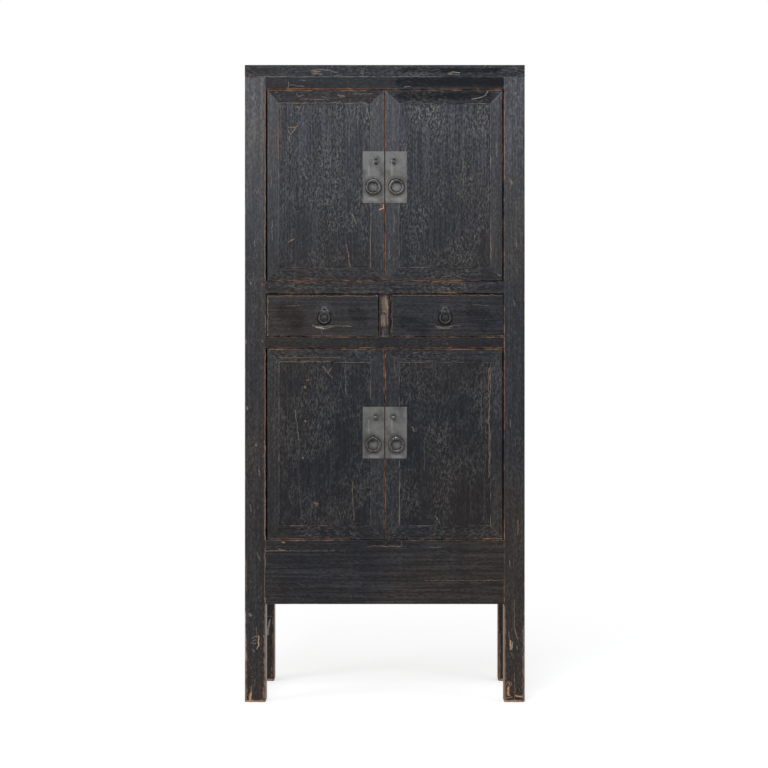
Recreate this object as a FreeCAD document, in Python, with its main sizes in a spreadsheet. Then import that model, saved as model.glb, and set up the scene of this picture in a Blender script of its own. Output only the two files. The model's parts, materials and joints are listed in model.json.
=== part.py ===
import FreeCAD, Part
import os
import re
import Sketcher
from FreeCAD import Placement, Rotation, Vector

# A tall square-corner cabinet in black lacquered softwood. Four square posts carry a mitred
# top frame, four levels of rails, floating panels, two pairs of doors on wooden pivots and
# two drawers. Lengths are in millimetres. X runs to the right, Y to the back, Z up, and the
# origin lies on the floor, in the middle of the box that the whole cabinet fills.

doc = FreeCAD.newDocument("Cabinet")

# Driving sizes, each with the piece that it belongs to
SIZES = [
    # Carcass
    ("cabinet_width", 868),
    ("cabinet_depth", 470),
    ("post_width", 65),
    ("post_depth", 60),
    ("post_round", 4),
    # Levels of the front, from the floor up
    ("leg_height", 304),
    ("apron_height", 164),
    ("bottom_rail_height", 35),
    ("lower_opening", 595),
    ("lower_drawer_rail_height", 35),
    ("drawer_opening", 135),
    ("upper_drawer_rail_height", 37),
    ("upper_opening", 595),
    ("top_rail_height", 38),
    ("top_frame_thick", 38),
    # Rails, their tenons and the boards between them
    ("front_rail_depth", 45),
    ("side_rail_depth", 40),
    ("front_tenon_length", 42),
    ("front_tenon_thick", 16),
    ("front_tenon_set", 12),
    ("side_tenon_length", 22),
    ("side_tenon_thick", 14),
    ("side_tenon_set", 22),
    ("tenon_shoulder", 6),
    ("post_tenon_side", 24),
    ("post_tenon_height", 24),
    ("post_tenon_set", 16),
    ("side_panel_thick", 9),
    ("side_panel_set", 7),
    ("panel_housing", 8),
    ("top_frame_width", 66),
    ("top_panel_thick", 16),
    ("top_panel_recess", 1),
    ("top_tongue_thick", 7),
    ("floor_thick", 12),
    ("floor_drop", 2),
    ("apron_thick", 18),
    ("apron_set", 2),
    ("apron_housing", 10),
    ("side_apron_height", 120),
    ("divider_width", 37),
    ("divider_tenon", 10),
    ("strip_width", 101),
    ("strip_height", 17),
    ("strip_depth", 12),
    ("strip_offset", 4),
    ("shelf_thick", 14),
    ("shelf_clear", 1),
    ("shelf_rise", 290),
    ("cleat_width", 22),
    ("cleat_height", 24),
    ("cleat_tenon", 10),
    ("stop_width", 60),
    ("stop_height", 12),
    ("stop_thick", 12),
    ("stop_clear", 0.8),
    ("joint_play", 0.1),
    # Drawer runners
    ("runner_thick", 15),
    ("runner_reach", 29),
    ("guide_thick", 12),
    ("guide_height", 26),
    ("centre_runner_reach", 42),
    # Doors
    ("door_gap", 2),
    ("door_setback", 1),
    ("door_thick", 24),
    ("outer_stile", 40),
    ("meeting_stile", 45),
    ("door_rail", 43),
    ("door_tenon_length", 19),
    ("door_tenon_thick", 8),
    ("door_tenon_set", 13.5),
    ("panel_thick", 11),
    ("panel_recess", 0.6),
    ("panel_gap", 0.8),
    ("tongue_set", 6),
    ("tongue_reach", 6),
    ("groove_depth", 7),
    ("brace_height", 34),
    ("brace_thick", 9),
    ("dovetail_depth", 3),
    ("dovetail_flare", 2),
    ("dovetail_neck", 16),
    ("brace_tenon", 12),
    ("brace_tenon_set", 0.2),
    ("hinge_in", 14),
    ("hinge_back", 10),
    ("pin_radius", 6),
    ("pin_length", 12),
    ("pin_play", 0.25),
    ("pin_end_play", 0.3),
    # Face plates and their hardware
    ("plate_width", 67),
    ("plate_height", 160),
    ("plate_thick", 1.5),
    ("plate_margin", 0.6),
    ("upper_plate_rise", 243),
    ("lower_plate_rise", 253),
    ("lock_rise", 128),
    ("upper_ring_rise", 70),
    ("lower_ring_rise", 64),
    ("lock_from_edge", 27),
    ("ring_from_edge", 35),
    ("eye_hole", 5.9),
    ("eye_wall", 2.1),
    ("eye_width", 9),
    ("eye_chamfer", 0.5),
    ("eye_flare", 0.9),
    ("eye_flare_run", 2.5),
    ("shank_radius", 2),
    ("shank_play", 0.15),
    ("leg_radius", 1.4),
    ("leg_reach", 9),
    ("washer_radius", 10),
    ("rosette_radius", 8.8),
    ("washer_thick", 1.2),
    ("ring_seat", 0.3),
    ("door_ring_radius", 20.3),
    ("door_ring_wire", 5.5),
    ("drawer_ring_radius", 15.8),
    ("drawer_ring_wire", 2.8),
    ("drawer_ring_rise", 78),
    ("drawer_ring_inward", 6.5),
    ("lobe_upright", 9.5),
    ("lobe_upright_radius", 9),
    ("lobe_across", 7.5),
    ("lobe_across_radius", 7),
    # Drawers
    ("drawer_gap", 2),
    ("drawer_setback", 0.5),
    ("drawer_front_thick", 20),
    ("drawer_side_thick", 12),
    ("drawer_side_height", 118),
    ("drawer_back_thick", 12),
    ("drawer_bottom_thick", 8),
    ("drawer_bottom_rise", 9),
    ("drawer_housing", 6),
    ("drawer_lap", 8),
    ("drawer_rest", 0.3),
    ("drawer_back_clear", 6),
    ("tail_flare", 2.5),
    ("overrun", 5),
]

# Shares, chosen by hand, of the sizes that they follow
TAIL_COUNT = 3
TAIL_NECK_SHARE = 0.3

# Places worked out from the driving sizes
PLACES = [
    ("half_width", "cabinet_width / 2"),
    ("post_in", "half_width - post_width"),
    ("eye_outer", "eye_hole + eye_wall"),
    ("stand_out", "plate_thick + washer_thick + 2 * eye_outer - door_setback"),
    ("front_y", "-(cabinet_depth - stand_out) / 2"),
    ("back_y", "front_y + cabinet_depth"),
    ("rail_back_y", "front_y + front_rail_depth"),
    ("back_rail_y", "back_y - front_rail_depth"),
    ("post_back_y", "front_y + post_depth"),
    ("back_post_y", "back_y - post_depth"),
    ("side_rail_in", "half_width - side_rail_depth"),
    ("bottom_rail_z", "leg_height + apron_height"),
    ("lower_z", "bottom_rail_z + bottom_rail_height"),
    ("lower_drawer_rail_z", "lower_z + lower_opening"),
    ("drawer_z", "lower_drawer_rail_z + lower_drawer_rail_height"),
    ("upper_drawer_rail_z", "drawer_z + drawer_opening"),
    ("upper_z", "upper_drawer_rail_z + upper_drawer_rail_height"),
    ("top_rail_z", "upper_z + upper_opening"),
    ("top_frame_z", "top_rail_z + top_rail_height"),
    ("top_z", "top_frame_z + top_frame_thick"),
    ("door_y", "front_y + door_setback"),
    ("door_back_y", "door_y + door_thick"),
    ("door_out", "post_in - door_gap"),
    ("door_in", "door_gap / 2"),
    ("hinge_x", "door_out - hinge_in"),
    ("hinge_y", "door_y + hinge_back"),
    ("tongue_y", "door_y + tongue_set"),
    ("panel_back_y", "door_y + panel_recess + panel_thick"),
    ("plate_y", "door_y - plate_thick"),
    ("door_eye_y", "plate_y - washer_thick - eye_outer"),
    ("drawer_y", "front_y + drawer_setback"),
    ("drawer_eye_y", "drawer_y - washer_thick - eye_outer"),
    ("drawer_in", "divider_width / 2 + drawer_gap"),
    ("drawer_out", "post_in - drawer_gap"),
    ("drawer_mid", "(drawer_in + drawer_out) / 2"),
    ("drawer_box_y", "drawer_y + drawer_front_thick"),
    ("drawer_end_y", "back_rail_y - drawer_back_clear"),
    ("drawer_base_z", "drawer_z + drawer_rest"),
    ("drawer_eye_z", "drawer_z + drawer_ring_rise"),
    ("drawer_eye_x", "drawer_mid - drawer_ring_inward"),
]


def make_sheet(name, rows):
    sheet = doc.addObject("Spreadsheet::Sheet", name)
    for number, (alias, content) in enumerate(rows, 1):
        sheet.set(f"A{number}", alias)
        sheet.set(f"B{number}", str(content))
        sheet.setAlias(f"B{number}", alias)
    return sheet


def bound(formula):
    """The formula with each size's name led to the sheet that holds it."""

    def lead(match):
        word = match.group(0)
        return ("Places." if word in place_names else "Sizes.") + word

    return re.sub(r"[a-z][a-z_]+", lead, formula)


place_names = {alias for alias, formula in PLACES}
sizes = make_sheet("Sizes", SIZES)
doc.recompute()
places = make_sheet("Places", [(alias, "=" + bound(formula)) for alias, formula in PLACES])
doc.recompute()


def bind(thing, prop, formula):
    thing.setExpression(prop, bound(str(formula)))


def bind_place(thing, point):
    for axis, formula in zip("xyz", point):
        bind(thing, "Placement.Base." + axis, formula)


def number_of(formula):
    """What a formula comes to now, as a first guess for a sketch."""
    return float(sizes.evalExpression(bound(str(formula))))


# Spans are pairs of formulas, low end first


def plus(span, low, high):
    return (f"{span[0]} - ({low})", f"{span[1]} + {high}")


def flank(side, near, far):
    """A span across X, from its distance to the middle plane, on the left or the right."""
    return (near, far) if side == "right" else (f"-({far})", f"-({near})")


def flank_x(side, distance):
    return distance if side == "right" else f"-({distance})"


# Solids that the pieces are made of


def block(x, y, z, play=None):
    """A box over three spans, grown all round by a clearance where one is given."""
    solid = doc.addObject("Part::Box", "Block")
    for axis, size, (low, high) in zip("xyz", ("Length", "Width", "Height"), (x, y, z)):
        grown = f" + 2 * {play}" if play else ""
        shift = f" - {play}" if play else ""
        bind(solid, "Placement.Base." + axis, f"{low}{shift}")
        bind(solid, size, f"({high}) - ({low}){grown}")
    return solid


def rod(radius, length, point, axis="z"):
    """A round bar that starts at a point and runs along an axis."""
    turns = {
        "x": Rotation(Vector(0, 1, 0), 90),
        "y": Rotation(Vector(1, 0, 0), -90),
        "z": Rotation(),
    }
    solid = doc.addObject("Part::Cylinder", "Rod")
    solid.Placement = Placement(Vector(), turns[axis])
    bind(solid, "Radius", radius)
    bind(solid, "Height", length)
    bind_place(solid, point)
    return solid


def fused(solids, label=None):
    if len(solids) == 1:
        whole = solids[0]
    else:
        whole = doc.addObject("Part::MultiFuse", "Fused")
        whole.Shapes = solids
    if label:
        whole.Label = label
    return whole


def less(base, tools, label=None):
    """The base with every tool's space taken out of it."""
    cut = doc.addObject("Part::Cut", "Cut")
    cut.Base = base
    cut.Tool = fused(tools)
    if label:
        cut.Label = label
    return cut


def group(solids, label):
    """Like pieces that share a node and stay separate solids."""
    together = doc.addObject("Part::Compound", "Group")
    together.Links = solids
    together.Label = label
    return together


def plane_of(body, role):
    return next(f for f in body.Origin.OriginFeatures if f.Role == role)


def draw_outline(sketch, corners):
    """A closed outline whose corners are held by formulas, measured from the sketch's origin."""
    guesses = [Vector(number_of(a), number_of(b), 0) for a, b in corners]
    count = len(corners)
    for i in range(count):
        sketch.addGeometry(Part.LineSegment(guesses[i], guesses[(i + 1) % count]), False)
    for i in range(count):
        sketch.addConstraint(Sketcher.Constraint("Coincident", i, 2, (i + 1) % count, 1))
    for i, (across, up) in enumerate(corners):
        for kind, formula, guess in (("DistanceX", across, guesses[i].x), ("DistanceY", up, guesses[i].y)):
            at = sketch.addConstraint(Sketcher.Constraint(kind, -1, 1, i, 1, guess))
            bind(sketch, f"Constraints[{at}]", formula)


def sketched_body(role, corners, offset=None):
    """A body and a sketch on one of its own planes, moved along the plane's normal."""
    body = doc.addObject("PartDesign::Body", "Body")
    sketch = body.newObject("Sketcher::SketchObject", "Outline")
    sketch.AttachmentSupport = [(plane_of(body, role), "")]
    sketch.MapMode = "FlatFace"
    if offset:
        bind(sketch, "AttachmentOffset.Base.z", offset)
    doc.recompute()
    draw_outline(sketch, corners)
    return body, sketch


def padded_bar(role, corners, offset, length):
    """A bar of any outline, padded along its plane's normal."""
    body, sketch = sketched_body(role, corners, offset)
    pad = body.newObject("PartDesign::Pad", "Bar")
    pad.Profile = sketch
    bind(pad, "Length", length)
    sketch.Visibility = False
    return body


def front_bar(corners, y):
    """A bar seen from the front: its outline lies in X and Z, and y is its span in depth."""
    return padded_bar("XZ_Plane", corners, f"-({y[1]})", f"({y[1]}) - ({y[0]})")


def edge_waste(side, x, y, radius, z, into_back=False):
    """What a round-over takes off an upright edge; x is the edge's distance to the middle."""
    centre_x = flank_x(side, f"{x} - {radius}")
    centre_y = f"{y} - {radius}" if into_back else f"{y} + {radius}"
    span_y = (centre_y, f"{y} + overrun") if into_back else (f"{y} - overrun", centre_y)
    corner = block(flank(side, f"{x} - {radius}", f"{x} + overrun"), span_y, z)
    core = rod(radius, f"({z[1]}) - ({z[0]})", (centre_x, centre_y, z[0]))
    return less(corner, [core])


# Levels: name, low and high edge of the rails that stand between the posts
LEVELS = {
    "bottom": ("bottom_rail_z", "lower_z"),
    "lower": ("lower_drawer_rail_z", "drawer_z"),
    "upper": ("upper_drawer_rail_z", "upper_z"),
    "top": ("top_rail_z", "top_frame_z"),
}
BAYS = (("lower_z", "lower_drawer_rail_z"), ("drawer_z", "upper_drawer_rail_z"), ("upper_z", "top_rail_z"))
SIDES = ("left", "right")
FRONT = ("front_y", "rail_back_y")
BACK = ("back_rail_y", "back_y")


def shouldered(level):
    return (f"{level[0]} + tenon_shoulder", f"{level[1]} - tenon_shoulder")


# Tenons and panels, each given once and used again for the space that it fills


def cross_tenon(side, level, at_back, play=None):
    """The tenon of a front or back rail, inside a post."""
    near = "back_y - front_tenon_set - front_tenon_thick" if at_back else "front_y + front_tenon_set"
    far = "back_y - front_tenon_set" if at_back else "front_y + front_tenon_set + front_tenon_thick"
    across = flank(side, "post_in", "post_in + front_tenon_length")
    return block(across, (near, far), shouldered(LEVELS[level]), play)


def side_tenon(side, level, at_back, play=None):
    """The tenon of a side rail, inside a post."""
    across = flank(side, "half_width - side_tenon_set - side_tenon_thick", "half_width - side_tenon_set")
    if at_back:
        depth = ("back_post_y", "back_post_y + side_tenon_length")
    else:
        depth = ("post_back_y - side_tenon_length", "post_back_y")
    return block(across, depth, shouldered(LEVELS[level]), play)


def side_panel(side, bay, play=None):
    across = flank(side, "half_width - side_panel_set - side_panel_thick", "half_width - side_panel_set")
    depth = plus(("post_back_y", "back_post_y"), "panel_housing", "panel_housing")
    return block(across, depth, plus(bay, "panel_housing", "panel_housing"), play)


def back_panel(bay, play=None):
    across = plus(("-post_in", "post_in"), "panel_housing", "panel_housing")
    depth = ("back_y - side_panel_set - side_panel_thick", "back_y - side_panel_set")
    return block(across, depth, plus(bay, "panel_housing", "panel_housing"), play)


def front_apron_board(play=None):
    across = plus(("-post_in", "post_in"), "apron_housing", "apron_housing")
    depth = ("front_y + apron_set", "front_y + apron_set + apron_thick")
    return block(across, depth, ("leg_height", "bottom_rail_z"), play)


def side_apron_board(side, play=None):
    across = flank(side, "half_width - apron_set - apron_thick", "half_width - apron_set")
    depth = plus(("post_back_y", "back_post_y"), "apron_housing", "apron_housing")
    return block(across, depth, ("bottom_rail_z - side_apron_height", "bottom_rail_z"), play)


def post_top_tenon(side, at_back, play=None):
    across = flank(
        side,
        "half_width - post_tenon_set - post_tenon_side",
        "half_width - post_tenon_set",
    )
    if at_back:
        depth = ("back_y - post_tenon_set - post_tenon_side", "back_y - post_tenon_set")
    else:
        depth = ("front_y + post_tenon_set", "front_y + post_tenon_set + post_tenon_side")
    return block(across, depth, ("top_frame_z", "top_frame_z + post_tenon_height"), play)


def cleat_tenon(side, z, at_back, play=None):
    across = flank(side, "post_in + tenon_shoulder", "post_in + cleat_width")
    if at_back:
        depth = ("back_post_y", "back_post_y + cleat_tenon")
    else:
        depth = ("post_back_y - cleat_tenon", "post_back_y")
    return block(across, depth, z, play)


def cleat_level(floor):
    return (f"{floor} + shelf_rise - cleat_height", f"{floor} + shelf_rise")


CLEATS = (cleat_level("lower_z"), cleat_level("upper_z"))


def make_post(side, at_back):
    """A corner post with its mortises, panel housings, rounded corner and top tenon."""
    depth = ("back_post_y", "back_y") if at_back else ("front_y", "post_back_y")
    shaft = block(flank(side, "post_in", "half_width"), depth, ("0", "top_frame_z"))
    post = fused([shaft, post_top_tenon(side, at_back)])
    waste = [edge_waste(side, "half_width", "back_y" if at_back else "front_y", "post_round",
                        ("0", "top_frame_z"), at_back)]
    for level in LEVELS:
        waste.append(cross_tenon(side, level, at_back, "joint_play"))
        waste.append(side_tenon(side, level, at_back, "joint_play"))
    for bay in BAYS:
        waste.append(side_panel(side, bay, "joint_play"))
        if at_back:
            waste.append(back_panel(bay, "joint_play"))
    waste.append(side_apron_board(side, "joint_play"))
    if not at_back:
        waste.append(front_apron_board("joint_play"))
    for z in CLEATS:
        waste.append(cleat_tenon(side, z, at_back, "joint_play"))
    where = "back" if at_back else "front"
    return less(post, waste, f"post_{where}_{side}")


# Boards that lie between the rails, notched round the posts


def floor_board(top, play=None):
    across = plus(("-side_rail_in", "side_rail_in"), "panel_housing", "panel_housing")
    depth = plus(("rail_back_y", "back_rail_y"), "panel_housing", "panel_housing")
    z = (f"{top} - floor_drop - floor_thick", f"{top} - floor_drop")
    return block(across, depth, z, play)


def post_spaces(z):
    spaces = []
    for side in SIDES:
        for depth in (("front_y", "post_back_y"), ("back_post_y", "back_y")):
            spaces.append(block(flank(side, "post_in", "half_width"), depth, z, "joint_play"))
    return spaces


def make_floors():
    """The bottom board and the floor of the upper cupboard, housed in the rails round them."""
    boards = []
    for top in ("lower_z", "upper_z"):
        low = f"{top} - floor_drop - floor_thick - overrun"
        boards.append(less(floor_board(top), post_spaces((low, top))))
    return group(boards, "cupboard_floors")


def pivot_socket(side, level, opens_up):
    """The round socket for a door's pin, cut up or down into a rail."""
    radius = "pin_radius + pin_play"
    if opens_up:
        start = f"{level[1]} - pin_length"
    else:
        start = level[0]
    return rod(radius, "pin_length", (flank_x(side, "hinge_x"), "hinge_y", start))


def divider_tenon(upper, play=None):
    across = ("-divider_width / 2 + tenon_shoulder", "divider_width / 2 - tenon_shoulder")
    depth = ("front_y + front_tenon_set", "front_y + front_tenon_set + front_tenon_thick")
    if upper:
        z = ("upper_drawer_rail_z", "upper_drawer_rail_z + divider_tenon")
    else:
        z = ("drawer_z - divider_tenon", "drawer_z")
    return block(across, depth, z, play)


def strip_block():
    middle = "-strip_offset"
    across = (f"{middle} - strip_width / 2", f"{middle} + strip_width / 2")
    return block(across, ("front_y", "front_y + strip_depth"), ("lower_z - strip_height", "lower_z"))


def make_front_rail(level, label):
    """A rail across the front, with tenons, pivot sockets and housings."""
    span = LEVELS[level]
    parts = [block(("-post_in", "post_in"), FRONT, span)]
    parts += [cross_tenon(side, level, False) for side in SIDES]
    waste = []
    for side in SIDES:
        if level in ("bottom", "upper"):
            waste.append(pivot_socket(side, span, True))
        if level in ("top", "lower"):
            waste.append(pivot_socket(side, span, False))
    if level == "bottom":
        waste += [floor_board("lower_z", "joint_play"), strip_block()]
    if level == "upper":
        waste += [floor_board("upper_z", "joint_play"), divider_tenon(True, "joint_play")]
    if level == "lower":
        waste.append(divider_tenon(False, "joint_play"))
    return less(fused(parts), waste, label)


def make_divider():
    body = block(("-divider_width / 2", "divider_width / 2"), FRONT, ("drawer_z", "upper_drawer_rail_z"))
    return fused([body, divider_tenon(True), divider_tenon(False)], "drawer_divider")


def make_side_rails():
    rails = []
    for side in SIDES:
        for level, span in LEVELS.items():
            rail = [block(flank(side, "side_rail_in", "half_width"), ("post_back_y", "back_post_y"), span)]
            rail += [side_tenon(side, level, at_back) for at_back in (False, True)]
            waste = [side_panel(side, bay, "joint_play") for bay in BAYS if span[0] in bay or span[1] in bay]
            if level == "bottom":
                waste.append(floor_board("lower_z", "joint_play"))
            if level == "upper":
                waste.append(floor_board("upper_z", "joint_play"))
            rails.append(less(fused(rail), waste))
    return group(rails, "side_rails")


def make_back_rails():
    rails = []
    for level, span in LEVELS.items():
        rail = [block(("-post_in", "post_in"), BACK, span)]
        rail += [cross_tenon(side, level, True) for side in SIDES]
        waste = [back_panel(bay, "joint_play") for bay in BAYS if span[0] in bay or span[1] in bay]
        if level == "bottom":
            waste.append(floor_board("lower_z", "joint_play"))
        if level == "upper":
            waste.append(floor_board("upper_z", "joint_play"))
        rails.append(less(fused(rail), waste))
    return group(rails, "back_rails")


def make_panels():
    group([side_panel(side, bay) for side in SIDES for bay in BAYS], "side_panels")
    group([back_panel(bay) for bay in BAYS], "back_panels")


def make_aprons():
    front_apron_board().Label = "front_apron"
    group([side_apron_board(side) for side in SIDES], "side_aprons")
    strip_block().Label = "threshold_strip"


# The mitred top frame and its panel


def top_field(play=None):
    gap = "panel_gap"
    across = (f"-half_width + top_frame_width + {gap}", f"half_width - top_frame_width - {gap}")
    depth = (f"front_y + top_frame_width + {gap}", f"back_y - top_frame_width - {gap}")
    z = ("top_z - top_panel_recess - top_panel_thick", "top_z - top_panel_recess")
    return block(across, depth, z, play)


def top_tongue(play=None):
    reach = "tongue_reach"
    across = (f"-half_width + top_frame_width - {reach}", f"half_width - top_frame_width + {reach}")
    depth = (f"front_y + top_frame_width - {reach}", f"back_y - top_frame_width + {reach}")
    low = "top_z - top_panel_recess - top_panel_thick"
    return block(across, depth, (low, f"{low} + top_tongue_thick"), play)


def make_top():
    """Four mitred members over the posts' tenons, and the panel whose tongue they hold."""
    inner_x = "half_width - top_frame_width"
    outer = {"left": "-half_width", "right": "half_width", "front": "front_y", "back": "back_y"}
    inner = {
        "left": f"-({inner_x})",
        "right": inner_x,
        "front": "front_y + top_frame_width",
        "back": "back_y - top_frame_width",
    }
    ends = {"front": SIDES, "back": SIDES, "left": ("front", "back"), "right": ("front", "back")}
    members = []
    for name, (first, last) in ends.items():
        along_x = name in ("front", "back")
        if along_x:
            corners = [(outer[first], outer[name]), (outer[last], outer[name]),
                       (inner[last], inner[name]), (inner[first], inner[name])]
        else:
            corners = [(outer[name], outer[first]), (outer[name], outer[last]),
                       (inner[name], inner[last]), (inner[name], inner[first])]
        bar = padded_bar("XY_Plane", corners, "top_frame_z", "top_frame_thick")
        waste = [top_tongue("joint_play")]
        for side in SIDES:
            for at_back in (False, True):
                if name in (side, "back" if at_back else "front"):
                    waste.append(post_top_tenon(side, at_back, "joint_play"))
        members.append(less(bar, waste))
    group(members, "top_frame")
    fused([top_field(), top_tongue()], "top_panel")


def make_shelves():
    """A loose shelf in each cupboard, and the cleats between the posts that carry it."""
    shelves, cleats = [], []
    for z in CLEATS:
        reach = "half_width - side_panel_set - side_panel_thick - shelf_clear"
        depth = ("post_back_y + shelf_clear", "back_post_y - shelf_clear")
        shelves.append(block((f"-({reach})", reach), depth, (z[1], f"{z[1]} + shelf_thick")))
        for side in SIDES:
            bar = [block(flank(side, "post_in", "post_in + cleat_width"), ("post_back_y", "back_post_y"), z)]
            bar += [cleat_tenon(side, z, at_back) for at_back in (False, True)]
            cleats.append(fused(bar))
    group(shelves, "shelves")
    group(cleats, "shelf_cleats")


def make_runners():
    """Runners under the drawers' sides, with guides beside and between the drawers."""
    base = ("drawer_z - runner_thick", "drawer_z")
    guide = ("drawer_z", "drawer_z + guide_height")
    whole = ("rail_back_y", "back_rail_y")
    between = ("post_back_y", "back_post_y")
    runners = []
    for side in SIDES:
        foot = block(flank(side, "post_in - runner_reach", "post_in"), whole, base)
        wing = block(flank(side, "post_in", "side_rail_in"), between, base)
        fence = block(flank(side, "post_in", "post_in + guide_thick"), between, guide)
        runners.append(fused([foot, wing, fence]))
    reach = "divider_width / 2 + centre_runner_reach"
    fence_reach = "divider_width / 2"
    foot = block((f"-({reach})", reach), whole, base)
    fence = block((f"-{fence_reach}", fence_reach), whole, guide)
    runners.append(fused([foot, fence]))
    group(runners, "drawer_runners")


def make_door_stops():
    """Blocks glued behind each opening's head, which the meeting stiles close against."""
    stops = []
    across = ("-stop_width / 2", "stop_width / 2")
    depth = ("door_back_y + stop_clear", "door_back_y + stop_clear + stop_thick")
    for head in ("lower_drawer_rail_z", "top_rail_z"):
        stops.append(block(across, depth, (f"{head} - stop_height", head)))
    group(stops, "door_stops")


# Door frames


def door_levels(floor, head):
    return (f"{floor} + door_gap", f"{head} - door_gap")


def frame_tenon(side, rail_z, at_hinge, play=None):
    """The tenon of a door rail inside a stile: outside edge kept back by the mitre."""
    if at_hinge:
        inner = "door_out - outer_stile"
        across = flank(side, f"{inner} - door_rail", f"{inner} + door_tenon_length")
    else:
        inner = "door_in + meeting_stile"
        across = flank(side, f"{inner} - door_tenon_length", f"{inner} + door_rail")
    depth = ("door_y + door_tenon_set", "door_y + door_tenon_set + door_tenon_thick")
    return block(across, depth, shouldered_rail(rail_z), play)


def shouldered_rail(rail_z):
    """The middle of a door rail's height, where its tenons stand."""
    return (f"{rail_z[0]} + 2 * tenon_shoulder", f"{rail_z[1]} - 2 * tenon_shoulder")


def door_opening(z):
    """The space inside a door's frame, measured from the middle plane."""
    near = "door_in + meeting_stile"
    far = "door_out - outer_stile"
    return near, far, (f"{z[0]} + door_rail", f"{z[1]} - door_rail")


def door_tongue(side, z, play=None):
    near, far, inner_z = door_opening(z)
    across = flank(side, f"{near} - tongue_reach", f"{far} + tongue_reach")
    return block(across, ("tongue_y", "panel_back_y"), plus(inner_z, "tongue_reach", "tongue_reach"), play)


def door_groove(side, z):
    near, far, inner_z = door_opening(z)
    across = flank(side, f"{near} - groove_depth", f"{far} + groove_depth")
    depth = ("tongue_y - joint_play", "panel_back_y + joint_play")
    return block(across, depth, plus(inner_z, "groove_depth", "groove_depth"))


def brace_profile(z, grow):
    """The brace's dovetail key: narrow at the panel's back face and wide inside it."""
    middle = f"({z[0]} + {z[1]}) / 2"
    neck = f"(dovetail_neck / 2 + {grow})"
    return [
        ("panel_back_y - dovetail_depth", f"{middle} - {neck} - dovetail_flare"),
        ("panel_back_y - dovetail_depth", f"{middle} + {neck} + dovetail_flare"),
        ("panel_back_y", f"{middle} + {neck}"),
        ("panel_back_y", f"{middle} - {neck}"),
    ]


def brace_key(z, grow, x):
    """The key that slides along a dovetail slot across the back of the panel."""
    return padded_bar("YZ_Plane", brace_profile(z, grow), x[0], f"({x[1]}) - ({x[0]})")


def brace_bar(side, z, play=None):
    """The brace itself, tenoned into both stiles."""
    near, far, inner_z = door_opening(z)
    middle = f"({z[0]} + {z[1]}) / 2"
    height = (f"{middle} - brace_height / 2", f"{middle} + brace_height / 2")
    return block(flank(side, near, far), ("panel_back_y", "panel_back_y + brace_thick"), height, play)


def brace_tenons(side, z, play=None):
    near, far, inner_z = door_opening(z)
    middle = f"({z[0]} + {z[1]}) / 2"
    half = "brace_height / 2 - tenon_shoulder"
    height = (f"{middle} - ({half})", f"{middle} + {half}")
    depth = ("panel_back_y + brace_tenon_set", "panel_back_y + brace_thick")
    return block(flank(side, f"{near} - brace_tenon", f"{far} + brace_tenon"), depth, height, play)


def make_door_frame(name, side, z):
    """Two mitred stiles with round pivot pins, and two mitred rails with hidden tenons."""
    near, far, inner_z = door_opening(z)
    front = ("door_y", "door_back_y")
    rails_z = {"bottom": (z[0], inner_z[0]), "top": (inner_z[1], z[1])}

    def stile(outer, inner):
        return front_bar([(outer, z[0]), (inner, inner_z[0]), (inner, inner_z[1]), (outer, z[1])], front)

    outer_x, inner_x = flank_x(side, "door_out"), flank_x(side, far)
    meet_x, meet_in = flank_x(side, "door_in"), flank_x(side, near)
    hinge_stile = stile(outer_x, inner_x)
    meeting_stile = stile(meet_x, meet_in)

    pin_x = flank_x(side, "hinge_x")
    reach = "door_gap + pin_length - pin_end_play"
    root = "hinge_in + 2 * pin_radius"
    pins = [
        rod("pin_radius", f"{reach} + {root}", (pin_x, "hinge_y", f"{z[0]} - ({reach})")),
        rod("pin_radius", f"{reach} + {root}", (pin_x, "hinge_y", f"{z[1]} - ({root})")),
    ]
    pin_spaces = [
        rod("pin_radius + joint_play", f"{root} + overrun", (pin_x, "hinge_y", f"{z[0]} - overrun")),
        rod("pin_radius + joint_play", f"{root} + overrun", (pin_x, "hinge_y", f"{z[1]} - ({root})")),
    ]
    corner = block(flank(side, "hinge_x", "door_out + overrun"), ("door_y - overrun", "hinge_y"),
                   plus(z, "overrun", "overrun"))
    core = rod("hinge_in", f"({z[1]}) - ({z[0]}) + 4 * overrun", (pin_x, "hinge_y", f"{z[0]} - 2 * overrun"))
    round_over = less(corner, [core])

    hinge_waste = [door_groove(side, z), brace_tenons(side, z, "joint_play")]
    meeting_waste = [door_groove(side, z), brace_tenons(side, z, "joint_play")]
    for rail_z in rails_z.values():
        hinge_waste.append(frame_tenon(side, rail_z, True, "joint_play"))
        meeting_waste.append(frame_tenon(side, rail_z, False, "joint_play"))
    for from_edge, rise in door_holes(name):
        meeting_waste.append(shank_hole(side, from_edge, rise))

    hinge = less(hinge_stile, hinge_waste + [round_over])
    meeting = less(meeting_stile, meeting_waste)
    group([fused([hinge] + pins), meeting], f"{name}_stiles")

    rails = []
    for which, rail_z in rails_z.items():
        edge_z, lip_z = (z[0], inner_z[0]) if which == "bottom" else (z[1], inner_z[1])
        bar = front_bar([(outer_x, edge_z), (meet_x, edge_z), (meet_in, lip_z), (inner_x, lip_z)], front)
        ends = [frame_tenon(side, rail_z, at_hinge) for at_hinge in (True, False)]
        rails.append(less(fused([bar] + ends), [door_groove(side, z), round_over] + pin_spaces))
    key_x = flank(side, f"{near} + panel_gap", f"{far} - panel_gap")
    brace = fused([brace_bar(side, z), brace_tenons(side, z), brace_key(z, "0", key_x)])
    group(rails + [brace], f"{name}_rails")


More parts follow.
